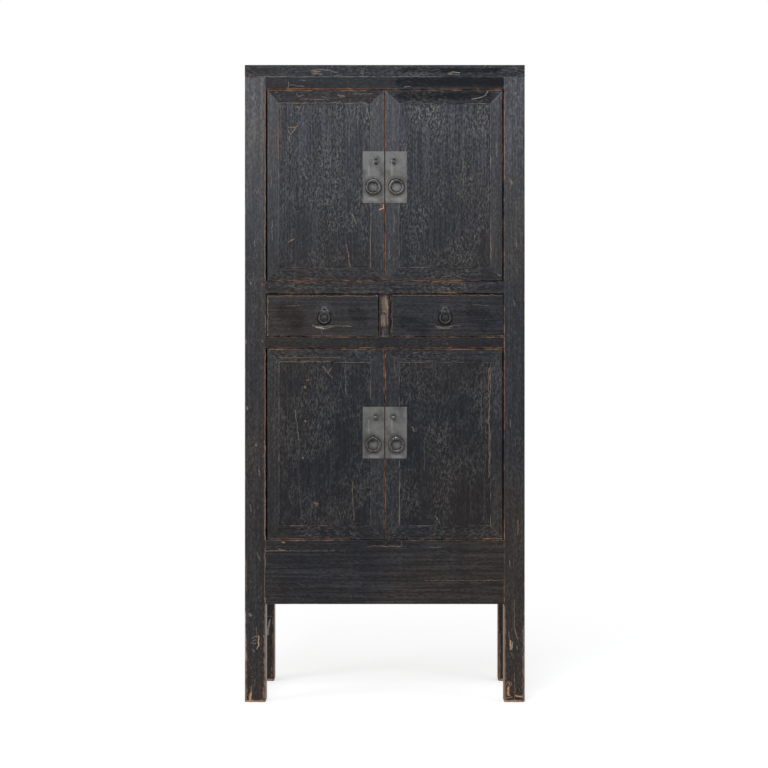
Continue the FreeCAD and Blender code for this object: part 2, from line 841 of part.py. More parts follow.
def make_door_panel(name, side, z):
    """The floating panel: a field almost flush with the frame, a tongue round it and a slot behind."""
    near, far, inner_z = door_opening(z)
    across = flank(side, f"{near} + panel_gap", f"{far} - panel_gap")
    height = (f"{inner_z[0]} + panel_gap", f"{inner_z[1]} - panel_gap")
    field = block(across, ("door_y + panel_recess", "panel_back_y"), height)
    slot_x = flank(side, f"{near} - tongue_reach - overrun", f"{far} + tongue_reach + overrun")
    slot = brace_key(z, "joint_play", slot_x)
    return less(fused([field, door_tongue(side, z)]), [slot], f"{name}_panel")


# Hardware


def door_floor(name):
    return "upper_z" if "upper" in name else "lower_z"


def plate_base(name):
    rise = "upper_plate_rise" if "upper" in name else "lower_plate_rise"
    return f"{door_floor(name)} + {rise}"


def ring_eye_z(name):
    rise = "upper_ring_rise" if "upper" in name else "lower_ring_rise"
    return f"{plate_base(name)} + {rise}"


def door_holes(name):
    return (("lock_from_edge", f"{plate_base(name)} + lock_rise"), ("ring_from_edge", ring_eye_z(name)))


def shank_hole(side, from_edge, z):
    x = flank_x(side, f"door_in + {from_edge}")
    depth = "overrun + plate_thick + door_thick + overrun"
    return rod("shank_radius + shank_play", depth, (x, "plate_y - overrun", z), "y")


def split_pin(x, y, z, through):
    """An eye turned from one profile, its hole flared for the ring, with a shank and two bent legs."""
    half = "eye_width / 2"
    outer = "eye_hole + eye_wall"
    corners = [
        (f"-{half}", "eye_hole + eye_flare"),
        (f"-{half} + eye_flare_run", "eye_hole"),
        (f"{half} - eye_flare_run", "eye_hole"),
        (half, "eye_hole + eye_flare"),
        (half, f"{outer} - eye_chamfer"),
        (f"{half} - eye_chamfer", outer),
        (f"-{half} + eye_chamfer", outer),
        (f"-{half}", f"{outer} - eye_chamfer"),
    ]
    eye, sketch = sketched_body("XY_Plane", corners)
    turned = eye.newObject("PartDesign::Revolution", "Eye")
    turned.Profile = sketch
    turned.ReferenceAxis = (sketch, ["H_Axis"])
    turned.Angle = 360
    sketch.Visibility = False
    bind_place(eye, (x, y, z))
    start = f"{y} + eye_hole + eye_wall / 2"
    shank = rod("shank_radius", f"{through} - ({start}) + leg_radius", (x, start, z), "y")
    legs = rod("leg_radius", "2 * leg_reach", (x, f"{through} + leg_radius", f"{z} - leg_reach"))
    return fused([eye, shank, legs])


def washer_hole(x, start, z):
    length = "washer_thick + 2 * overrun"
    return rod("shank_radius + shank_play", length, (x, f"{start} - overrun", z), "y")


def round_washer(x, y, z):
    """A plain disc under an eye; y is the face that it lies on."""
    start = f"{y} - washer_thick"
    disc = rod("washer_radius", "washer_thick", (x, start, z), "y")
    return less(disc, [washer_hole(x, start, z)])


def lobed_washer(x, y, z):
    """A rosette of four lobes, taller than wide, behind a drawer's eye."""
    start = f"{y} - washer_thick"
    lobes = [rod("rosette_radius", "washer_thick", (x, start, z), "y")]
    for way in ("-", "+"):
        tall = (x, start, f"{z} {way} lobe_upright")
        wide = (f"{x} {way} lobe_across", start, z)
        lobes.append(rod("lobe_upright_radius", "washer_thick", tall, "y"))
        lobes.append(rod("lobe_across_radius", "washer_thick", wide, "y"))
    return less(fused(lobes), [washer_hole(x, start, z)])


def make_ring(label, x, y, z, radius, wire):
    """A ring that hangs from an eye at x, y, z: its wire rests low in the eye's hole."""
    ring = doc.addObject("Part::Torus", "Ring")
    ring.Placement = Placement(Vector(), Rotation(Vector(1, 0, 0), -90))
    bind(ring, "Radius1", radius)
    bind(ring, "Radius2", wire)
    bind_place(ring, (x, y, f"{z} - (eye_hole - {wire} - ring_seat) - {radius}"))
    ring.Label = label
    return ring


def make_door_hardware(name, side):
    """The face plate, its two split pins with washers, and the pull ring."""
    base = plate_base(name)
    across = flank(side, "door_in + plate_margin", "door_in + plate_margin + plate_width")
    plate = block(across, ("plate_y", "door_y"), (base, f"{base} + plate_height"))
    holes = [shank_hole(side, from_edge, z) for from_edge, z in door_holes(name)]
    less(plate, holes, f"{name}_plate")
    eyes = []
    for from_edge, z in door_holes(name):
        x = flank_x(side, f"door_in + {from_edge}")
        eyes.append(split_pin(x, "door_eye_y", z, "door_back_y"))
        eyes.append(round_washer(x, "plate_y", z))
    group(eyes, f"{name}_eyes")
    ring_x = flank_x(side, "door_in + ring_from_edge")
    make_ring(f"{name}_ring", ring_x, "door_eye_y", ring_eye_z(name), "door_ring_radius", "door_ring_wire")


def make_doors():
    for row, floor, head in (("upper", "upper_z", "top_rail_z"), ("lower", "lower_z", "lower_drawer_rail_z")):
        for side in SIDES:
            name = f"{row}_door_{side}"
            z = door_levels(floor, head)
            make_door_frame(name, side, z)
            make_door_panel(name, side, z)
            make_door_hardware(name, side)


# Drawers


def tails(side_span, board_end, way, reach, z):
    """Dovetails on the end of a drawer's side, evenly spread over its height."""
    made = []
    height = f"(({z[1]}) - ({z[0]}))"
    for i in range(TAIL_COUNT):
        share = (i + 0.5) / TAIL_COUNT
        middle = f"{z[0]} + {height} * {share}"
        neck = f"{height} * {TAIL_NECK_SHARE} / {TAIL_COUNT}"
        tail = doc.addObject("Part::Wedge", "Tail")
        for prop, formula in (
            ("Xmin", 0), ("Xmax", f"({side_span[1]}) - ({side_span[0]})"),
            ("X2min", 0), ("X2max", f"({side_span[1]}) - ({side_span[0]})"),
            ("Ymin", 0), ("Ymax", reach),
        ):
            bind(tail, prop, formula)
        flares = ("tail_flare", "0") if way < 0 else ("0", "tail_flare")
        for prop, sign, flare in (("Zmin", "-", flares[0]), ("Zmax", "", flares[0]),
                                  ("Z2min", "-", flares[1]), ("Z2max", "", flares[1])):
            bind(tail, prop, f"{sign}({neck} + {flare})")
        start = f"{board_end} - {reach}" if way < 0 else board_end
        bind_place(tail, (side_span[0], start, middle))
        made.append(tail)
    return made


def drawer_tails(side_span, z):
    front = tails(side_span, "drawer_box_y", -1, "(drawer_front_thick - drawer_lap)", z)
    back = tails(side_span, "drawer_end_y - drawer_back_thick", 1, "drawer_back_thick", z)
    return front, back


def make_drawer(side):
    """A front, two dovetailed sides, a back and a housed bottom, with its eye and ring."""
    name = f"drawer_{side}"
    outer = {
        "inner": flank(side, "drawer_in", "drawer_in + drawer_side_thick"),
        "outer": flank(side, "drawer_out - drawer_side_thick", "drawer_out"),
    }
    across = flank(side, "drawer_in", "drawer_out")
    within = flank(side, "drawer_in + drawer_side_thick", "drawer_out - drawer_side_thick")
    z = ("drawer_base_z", "drawer_base_z + drawer_side_height")
    length = ("drawer_box_y", "drawer_end_y - drawer_back_thick")

    bottom_low = "drawer_base_z + drawer_bottom_rise"
    bottom_z = (bottom_low, f"{bottom_low} + drawer_bottom_thick")
    bottom_x = plus(within, "drawer_housing", "drawer_housing")
    bottom_y = plus(length, "drawer_housing", "drawer_housing")

    def bottom_board(play=None):
        return block(bottom_x, bottom_y, bottom_z, play)

    front_z = ("drawer_z + drawer_gap", "upper_drawer_rail_z - drawer_gap")
    front_waste = [bottom_board("joint_play")]
    back_waste = [bottom_board("joint_play")]
    sides = []
    for span in outer.values():
        front_tails, back_tails = drawer_tails(span, z)
        board = fused([block(span, length, z)] + front_tails + back_tails)
        sides.append(less(board, [bottom_board("joint_play")]))
        front_waste += front_tails
        back_waste += back_tails
    group(sides, f"{name}_sides")

    eye_x = flank_x(side, "drawer_eye_x")
    hole = rod("shank_radius + shank_play", "drawer_front_thick + 2 * overrun",
               (eye_x, "drawer_y - overrun", "drawer_eye_z"), "y")
    board = block(across, ("drawer_y", "drawer_box_y"), front_z)
    less(board, front_waste + [hole], f"{name}_front")
    less(block(across, ("drawer_end_y - drawer_back_thick", "drawer_end_y"), z), back_waste, f"{name}_back")
    bottom_board().Label = f"{name}_bottom"

    eye = split_pin(eye_x, "drawer_eye_y", "drawer_eye_z", "drawer_box_y")
    group([eye, lobed_washer(eye_x, "drawer_y", "drawer_eye_z")], f"{name}_eye")
    make_ring(f"{name}_ring", eye_x, "drawer_eye_y", "drawer_eye_z", "drawer_ring_radius", "drawer_ring_wire")


def make_carcass():
    for at_back in (False, True):
        for side in SIDES:
            make_post(side, at_back)
    make_front_rail("top", "front_top_rail")
    make_front_rail("upper", "upper_drawer_rail")
    make_front_rail("lower", "lower_drawer_rail")
    make_front_rail("bottom", "front_bottom_rail")
    make_divider()
    make_side_rails()
    make_back_rails()
    make_panels()
    make_aprons()
    make_floors()
    make_top()
    make_shelves()
    make_runners()
    make_door_stops()


def check_document():
    """Stops at any object that failed and at any empty or faulty piece."""
    failed = [o.Label for o in doc.Objects if {"Invalid", "Error"} & set(o.State)]
    if failed:
        raise RuntimeError(f"These failed to build: {failed}")
    nodes = [o for o in doc.Objects if re.fullmatch(r"[a-z]+(_[a-z]+)*", o.Label) and hasattr(o, "Shape")]
    for node in nodes:
        if node.Shape.isNull() or not node.Shape.isValid():
            raise RuntimeError(f"{node.Label} has no valid shape")
    return nodes


def write_steps(nodes):
    os.makedirs("parts", exist_ok=True)
    for node in nodes:
        node.Shape.exportStep(f"parts/{node.Label}.step")
        print(f"{node.Label}: {len(node.Shape.Solids)} solids, {node.Shape.Volume:.0f} mm3")


make_carcass()
make_doors()
for drawer_side in SIDES:
    make_drawer(drawer_side)
doc.recompute()
write_steps(check_document())
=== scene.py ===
# %% [markdown]
# # A tall black lacquered cabinet
#
# The cabinet comes as solids that are already true to size: posts, rails, panels, four doors, two
# drawers and their metal. This script gives the solids what a joiner's and a lacquerer's hands and
# a century of use add: softened arrises, grain that runs along each board, worn lacquer, aged
# metal. Lengths are in metres. X runs to the right, Y to the back and Z up.

# %% Load the frame
import json
import math

import bmesh
import bpy
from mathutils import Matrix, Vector

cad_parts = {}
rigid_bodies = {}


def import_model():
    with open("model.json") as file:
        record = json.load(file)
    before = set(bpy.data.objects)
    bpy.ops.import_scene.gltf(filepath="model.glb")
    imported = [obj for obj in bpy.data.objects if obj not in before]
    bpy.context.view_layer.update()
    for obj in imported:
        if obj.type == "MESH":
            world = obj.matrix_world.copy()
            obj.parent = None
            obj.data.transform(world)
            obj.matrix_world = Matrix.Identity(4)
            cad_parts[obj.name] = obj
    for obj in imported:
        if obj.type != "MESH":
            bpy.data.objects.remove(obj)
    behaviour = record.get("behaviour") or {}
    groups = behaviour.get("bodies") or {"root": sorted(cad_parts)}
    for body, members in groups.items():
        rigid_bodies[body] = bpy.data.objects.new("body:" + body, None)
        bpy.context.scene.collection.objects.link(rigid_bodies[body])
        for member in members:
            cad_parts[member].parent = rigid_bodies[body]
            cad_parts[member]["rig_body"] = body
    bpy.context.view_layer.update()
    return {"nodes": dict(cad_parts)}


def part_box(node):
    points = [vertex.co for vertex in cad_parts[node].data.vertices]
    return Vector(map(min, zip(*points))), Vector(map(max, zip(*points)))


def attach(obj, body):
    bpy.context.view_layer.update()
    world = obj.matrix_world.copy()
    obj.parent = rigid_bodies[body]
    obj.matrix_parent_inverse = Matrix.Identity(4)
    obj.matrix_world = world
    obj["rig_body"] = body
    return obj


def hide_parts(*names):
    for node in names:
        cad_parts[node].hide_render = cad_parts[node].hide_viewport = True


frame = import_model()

# %% [markdown]
# ## From the photograph to the cabinet
#
# The photograph looks almost straight at the front. On that plane one pixel is 3.1 mm, so a mark
# seen in the picture has a place on the cabinet. The plane itself is read from the front posts.

# %% Scale of the photograph
METRES_PER_PIXEL = 0.0031
MIDDLE_COLUMN = 384.8
FLOOR_ROW = 702.3
PICTURE_PIXELS = 768
front_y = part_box("post_front_left")[0].y


def from_photo(column, row):
    """The point of the cabinet's front plane that a pixel of the photograph shows."""
    x = (column - MIDDLE_COLUMN) * METRES_PER_PIXEL
    z = (FLOOR_ROW - row) * METRES_PER_PIXEL
    return Vector((x, front_y, z))


print("top of the picture", round(from_photo(0, 0).z, 3))

# %% [markdown]
# ## Camera
#
# The rear legs stand a little inside the front ones and end higher in the picture. From that follow
# the distance and the height of the eye. A small shift of the lens frames the cabinet as the
# photograph does, and keeps its upright lines parallel.

# %% Camera
VIEW_DISTANCE = 6.4
EYE_HEIGHT = 1.092
EYE_RIGHT = 0.07
SENSOR_WIDTH = 36

picture_width = PICTURE_PIXELS * METRES_PER_PIXEL
picture_centre = from_photo(PICTURE_PIXELS / 2, PICTURE_PIXELS / 2)
lens = bpy.data.cameras.new("view")
lens.sensor_width = SENSOR_WIDTH
lens.lens = SENSOR_WIDTH * VIEW_DISTANCE / picture_width
lens.shift_x = (picture_centre.x - EYE_RIGHT) / picture_width
lens.shift_y = (picture_centre.z - EYE_HEIGHT) / picture_width
camera = bpy.data.objects.new("view", lens)
camera.location = (EYE_RIGHT, front_y - VIEW_DISTANCE, EYE_HEIGHT)
camera.rotation_euler = (math.radians(90), 0, 0)
bpy.context.scene.collection.objects.link(camera)
bpy.context.scene.camera = camera
print("lens", round(lens.lens, 1), "shift", round(lens.shift_x, 4), round(lens.shift_y, 4))

# %% [markdown]
# ## Shader maths
#
# A material is a sum of masks: grain, crackle, wear. Written node by node that becomes unreadable,
# so one small class stands for the output of a node, and Python's own operators add the Math nodes.


# %% A wire between nodes
class Wire:
    """The output of a shader node. Arithmetic on wires adds the nodes that work it out."""

    def __init__(self, tree, socket=None):
        self.tree = tree
        self.socket = socket

    def put(self, socket, value):
        if isinstance(value, Wire):
            self.tree.links.new(value.socket, socket)
        else:
            socket.default_value = value

    def node(self, kind, settings, inputs, output=0):
        """Adds a node: settings first, then sockets by name or number. Gives one of its outputs."""
        made = self.tree.nodes.new("ShaderNode" + kind)
        for name, value in settings.items():
            setattr(made, name, value)
        for name, value in inputs.items():
            self.put(made.inputs[name], value)
        return Wire(self.tree, made.outputs[output])

    def math(self, operation, *values):
        return self.node("Math", {"operation": operation}, dict(enumerate(values)))

    def __add__(self, other):
        return self.math("ADD", self, other)

    def __sub__(self, other):
        return self.math("SUBTRACT", self, other)

    def __rsub__(self, other):
        return self.math("SUBTRACT", other, self)

    def __mul__(self, other):
        return self.math("MULTIPLY", self, other)

    __radd__ = __add__
    __rmul__ = __mul__

    def __abs__(self):
        return self.math("ABSOLUTE", self)

    def least(self, other):
        return self.math("MINIMUM", self, other)

    def most(self, other):
        return self.math("MAXIMUM", self, other)

    def step(self, start, end):
        """0 before start, 1 past end and smooth between; it falls where end is the smaller one."""
        ends = {"Value": self, "From Min": start, "From Max": end}
        return self.node("MapRange", {"interpolation_type": "SMOOTHSTEP"}, ends)

    def vector(self, operation, other, output=0):
        return self.node("VectorMath", {"operation": operation}, {0: self, 1: other}, output)

    def times(self, vector):
        return self.node("VectorMath", {"operation": "SCALE"}, {0: vector, "Scale": self})

    def parts(self):
        split = self.node("SeparateXYZ", {}, {"Vector": self})
        return [Wire(self.tree, out) for out in split.socket.node.outputs]

    def noise(self, scales, detail=3, roughness=0.5):
        """Cloudy noise, 0 to 1, with so many cells to the metre along each axis."""
        at = self.vector("MULTIPLY", scales)
        sockets = {"Vector": at, "Scale": 1, "Detail": detail, "Roughness": roughness}
        return self.node("TexNoise", {}, sockets)

    def cracks(self, scales):
        """Distance to the nearest border between cells, so many to the metre along each axis."""
        at = self.vector("MULTIPLY", scales)
        return self.node("TexVoronoi", {"feature": "DISTANCE_TO_EDGE"}, {"Vector": at, "Scale": 1})

    def tint(self, low, high):
        """A colour: the low one where this wire is 0, the high one where it is 1."""
        return self.node("Mix", {"data_type": "RGBA"}, {0: self, 6: low, 7: high}, 2)


def shown(red, green, blue):
    """A colour as a picture shows it, each part 0 to 255, turned into the light it stands for."""

    def light(part):
        share = part / 255
        return share / 12.92 if share <= 0.04045 else ((share + 0.055) / 1.055) ** 2.4

    return (light(red), light(green), light(blue), 1)


def start_material(name):
    """A new material, a wire to start its nodes from, and its shader."""
    material = bpy.data.materials.new(name)
    material.use_nodes = True
    return material, Wire(material.node_tree), material.node_tree.nodes["Principled BSDF"]


def cover(shader, colour, roughness, height, relief):
    """Leads a colour, a roughness and a relief of a strength and a depth in metres to a shader."""
    strength, depth = relief
    bump = height.node("Bump", {}, {"Height": height, "Strength": strength, "Distance": depth})
    for name, wire in (("Base Color", colour), ("Roughness", roughness), ("Normal", bump)):
        wire.put(shader.inputs[name], wire)


print("charcoal is", [round(part, 3) for part in shown(47, 48, 51)])

# %% [markdown]
# ## Dressing the boards
#
# A saw and a plane leave sharp arrises, and handling rounds them. The solids come as loose
# triangles, several boards to a node. Each node is copied, each board in it is welded and its flat
# faces made whole, and the four arrises along its grain get a small round. Ends stay sharp, because
# that is where joints are tight. Only posts are rounded at their feet too, and door panels and
# drawer fronts all round their faces.
#
# Every board also stores what its grain and wear need: the place on the board, measured along,
# across and through it from its middle; the board's half sizes; the distance to its two end joints;
# and a number of its own, so that no two boards have the same grain.

# %% Take a node apart into its boards
WELD = 1e-6
FLAT = math.radians(0.5)


def boards_of(bm):
    """The faces board by board: a run of faces is a whole board once each edge has met its twin."""
    boards, run, waiting = [], [], set()
    for face in bm.faces:
        run.append(face)
        corners = [tuple(vert.co) for vert in face.verts]
        for start, end in zip(corners, corners[1:] + corners[:1]):
            if (end, start) in waiting:
                waiting.remove((end, start))
            else:
                waiting.add((start, end))
        if not waiting:
            boards.append(run)
            run = []
    return boards


# Lists that keep their order, which a set would lose, so each run gives one mesh
def verts_of(faces):
    return list(dict.fromkeys(vert for face in faces for vert in face.verts))


def edges_of(faces):
    return list(dict.fromkeys(edge for face in faces for edge in face.edges))


def box_of(verts):
    low = Vector([min(vert.co[axis] for vert in verts) for axis in range(3)])
    high = Vector([max(vert.co[axis] for vert in verts) for axis in range(3)])
    return low, high


# %% Round the arrises
ON_FACE = 2e-5
STRAIGHT = 0.999
CORNER = math.radians(60)
ARRIS_SEGMENTS = 2


def long_arrises(faces):
    """The edges along the grain, at the corners of the board's own section."""
    low, high = box_of(verts_of(faces))
    grain = max(range(3), key=lambda axis: high[axis] - low[axis])
    across = [axis for axis in range(3) if axis != grain]

    def on_corner(vert):
        gaps = [(vert.co[axis] - low[axis], high[axis] - vert.co[axis]) for axis in across]
        return all(min(gap) < ON_FACE for gap in gaps)

    picked = []
    for edge in edges_of(faces):
        run = edge.verts[0].co - edge.verts[1].co
        straight = abs(run[grain]) > STRAIGHT * run.length
        if straight and edge.is_convex and all(on_corner(vert) for vert in edge.verts):
            picked.append(edge)
    return picked


def rim(edges, axis):
    """The edges round the face at the low end of an axis: a board's front or a post's foot."""
    low = min(vert.co[axis] for edge in edges for vert in edge.verts)
    return [
        edge
        for edge in edges
        if edge.is_convex
        and edge.calc_face_angle(0) > CORNER
        and all(vert.co[axis] - low < ON_FACE for vert in edge.verts)
    ]


def front_arrises(faces):
    return rim(edges_of(faces), 1)


def round_over(bm, edges, width):
    if edges:
        bmesh.ops.bevel(bm, geom=edges, offset=width, offset_type="OFFSET", segments=ARRIS_SEGMENTS,
                        profile=0.5, affect="EDGES", clamp_overlap=False, material=-1)


# %% Measure a board for its grain
FACES_ENDWAYS = 0.5
FAR_AWAY = 1.0
SEED_STEP = 0.618
SEEDS_PER_NODE = 7


def end_planes(faces, grain):
    """The widest plane that closes the board at each end: a shoulder, a mitre or a plain end."""
    areas = {}
    for face in faces:
        if abs(face.normal[grain]) > FACES_ENDWAYS:
            way = tuple(round(part, 2) for part in face.normal)
            level = round(face.normal.dot(face.verts[0].co), 4)
            key = (face.normal[grain] > 0, way, level)
            area = areas.get(key, [0])[0]
            areas[key] = (area + face.calc_area(), level, face.normal.copy())
    planes = []
    for high_end in (False, True):
        found = [plane for key, plane in areas.items() if key[0] == high_end]
        if found:
            planes.append(max(found, key=lambda plane: plane[0])[1:])
    return planes


def store_board(bm, boards, first_seed, wear_at):
    """Writes each board's measures on its points."""
    names = ("board_place", "board_half", "board_ends", "board_wear")
    place, half, ends, wear = [bm.verts.layers.float_vector.new(name) for name in names]
    seed = bm.verts.layers.float.new("board_seed")
    for number, faces in enumerate(boards):
        verts = verts_of(faces)
        low, high = box_of(verts)
        middle = (low + high) / 2
        order = sorted(range(3), key=lambda axis: low[axis] - high[axis])
        planes = end_planes(faces, order[0])
        for vert in verts:
            vert[place] = Vector([vert.co[axis] - middle[axis] for axis in order])
            vert[half] = Vector([(high[axis] - low[axis]) / 2 for axis in order])
            gaps = [level - normal.dot(vert.co) for level, normal in planes]
            gaps += [FAR_AWAY] * (2 - len(gaps))
            vert[ends] = Vector((gaps[0], gaps[1], 0))
            share, paleness = wear_at(vert.co)
            vert[wear] = Vector((share, paleness, 0))
            vert[seed] = (first_seed + number) * SEED_STEP % 1


# %% [markdown]
# ## Where hands and weather have been
#
# Arrises round the openings are rubbed to the ground, those at tight joints hardly at all, and the
# seam under the top frame shows as a pale broken line. So each point of a board carries two shares:
# how much its arris is worn, and how pale the wear is. Between a board's two sides they run
# straight.

# %% Wear along the arrises
# Share of wear and paleness: round a door, where two doors meet, and round a door's panel
DOOR_OUTLINE = (1.0, 0.0)
DOOR_MEETING = (0.55, 0.0)
DOOR_INSIDE = (0.55, 0.7)
POST_WEAR = (0.75, 0.15)
PLAIN_WEAR = (0.5, 0.3)
MEETING_REACH = 0.01
NEAR_OUTLINE = 0.002

# The node, the axis across which wear changes, and its share and paleness at the low and high side
WEAR = {
    "front_top_rail": (2, (1.0, 0.0), (0.3, 1.0)),
    "upper_drawer_rail": (2, (0.9, 0.2), (1.0, 0.0)),
    "lower_drawer_rail": (2, (0.8, 0.1), (0.8, 0.2)),
    "front_bottom_rail": (2, (0.5, 0.9), (1.1, 0.3)),
    "front_apron": (2, (0.9, 0.2), (0.1, 0.9)),
    "top_frame": (2, (0.65, 1.0), (0.5, 0.5)),
    "drawer_divider": (2, (0.9, 0.6), (0.9, 0.6)),
}


def wear_along(node):
    """A function that gives the wear at a point of this node."""
    low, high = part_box(node)
    if node in WEAR:
        axis, at_low, at_high = WEAR[node]

        def between(point):
            share = (point[axis] - low[axis]) / (high[axis] - low[axis])
            return [a + (b - a) * share for a, b in zip(at_low, at_high)]

        return between
    if "_door_" in node and node.endswith(("_stiles", "_rails")):
        door = node.rsplit("_", 1)[0]
        stiles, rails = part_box(door + "_stiles"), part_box(door + "_rails")
        edges = ((0, stiles[0].x), (0, stiles[1].x), (2, rails[0].z), (2, rails[1].z))

        def by_outline(point):
            if abs(point.x) < MEETING_REACH:
                return DOOR_MEETING
            outside = any(abs(point[axis] - level) < NEAR_OUTLINE for axis, level in edges)
            return DOOR_OUTLINE if outside else DOOR_INSIDE

        return by_outline
    return lambda point: POST_WEAR if node.startswith("post_") else PLAIN_WEAR


print("wear at the apron's foot", wear_along("front_apron")(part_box("front_apron")[0]))

# %% Dress one node
SMOOTH_BELOW = math.radians(50)
FOOT_ROUND = 0.004
dressed = {}


def dress(node, materials, width, pick=long_arrises, smooth=False):
    """A finished copy of a node stands in for it and rides with its body."""
    source = frame["nodes"][node]
    bm = bmesh.new()
    bm.from_mesh(source.data)
    board_number = bm.faces.layers.int.new("board_number")
    boards = boards_of(bm)
    for number, faces in enumerate(boards):
        for face in faces:
            face[board_number] = number
            face.material_index = number % len(materials)
        bmesh.ops.remove_doubles(bm, verts=verts_of(faces), dist=WELD)
    if not smooth:
        bmesh.ops.dissolve_limit(bm, angle_limit=FLAT, verts=bm.verts, edges=bm.edges)

    def sorted_boards():
        found = [[] for _ in boards]
        for face in bm.faces:
            found[face[board_number]].append(face)
        return found

    if node.startswith("post_"):
        round_over(bm, rim(bm.edges, 2), FOOT_ROUND)
    if width:
        edges = [edge for faces in sorted_boards() for edge in pick(faces)]
        round_over(bm, edges, width)
    bm.normal_update()
    store_board(bm, sorted_boards(), len(dressed) * SEEDS_PER_NODE, wear_along(node))
    mesh = bpy.data.meshes.new(node + "_worn")
    bm.to_mesh(mesh)
    bm.free()
    mesh.shade_smooth()
    mesh.set_sharp_from_angle(angle=SMOOTH_BELOW)
    for material in materials:
        mesh.materials.append(material)
    piece = bpy.data.objects.new(node + "_worn", mesh)
    bpy.context.scene.collection.objects.link(piece)
    weigh = piece.modifiers.new("flat_faces_stay_flat", "WEIGHTED_NORMAL")
    weigh.keep_sharp = True
    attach(piece, source["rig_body"])
    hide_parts(node)
    dressed[node] = piece
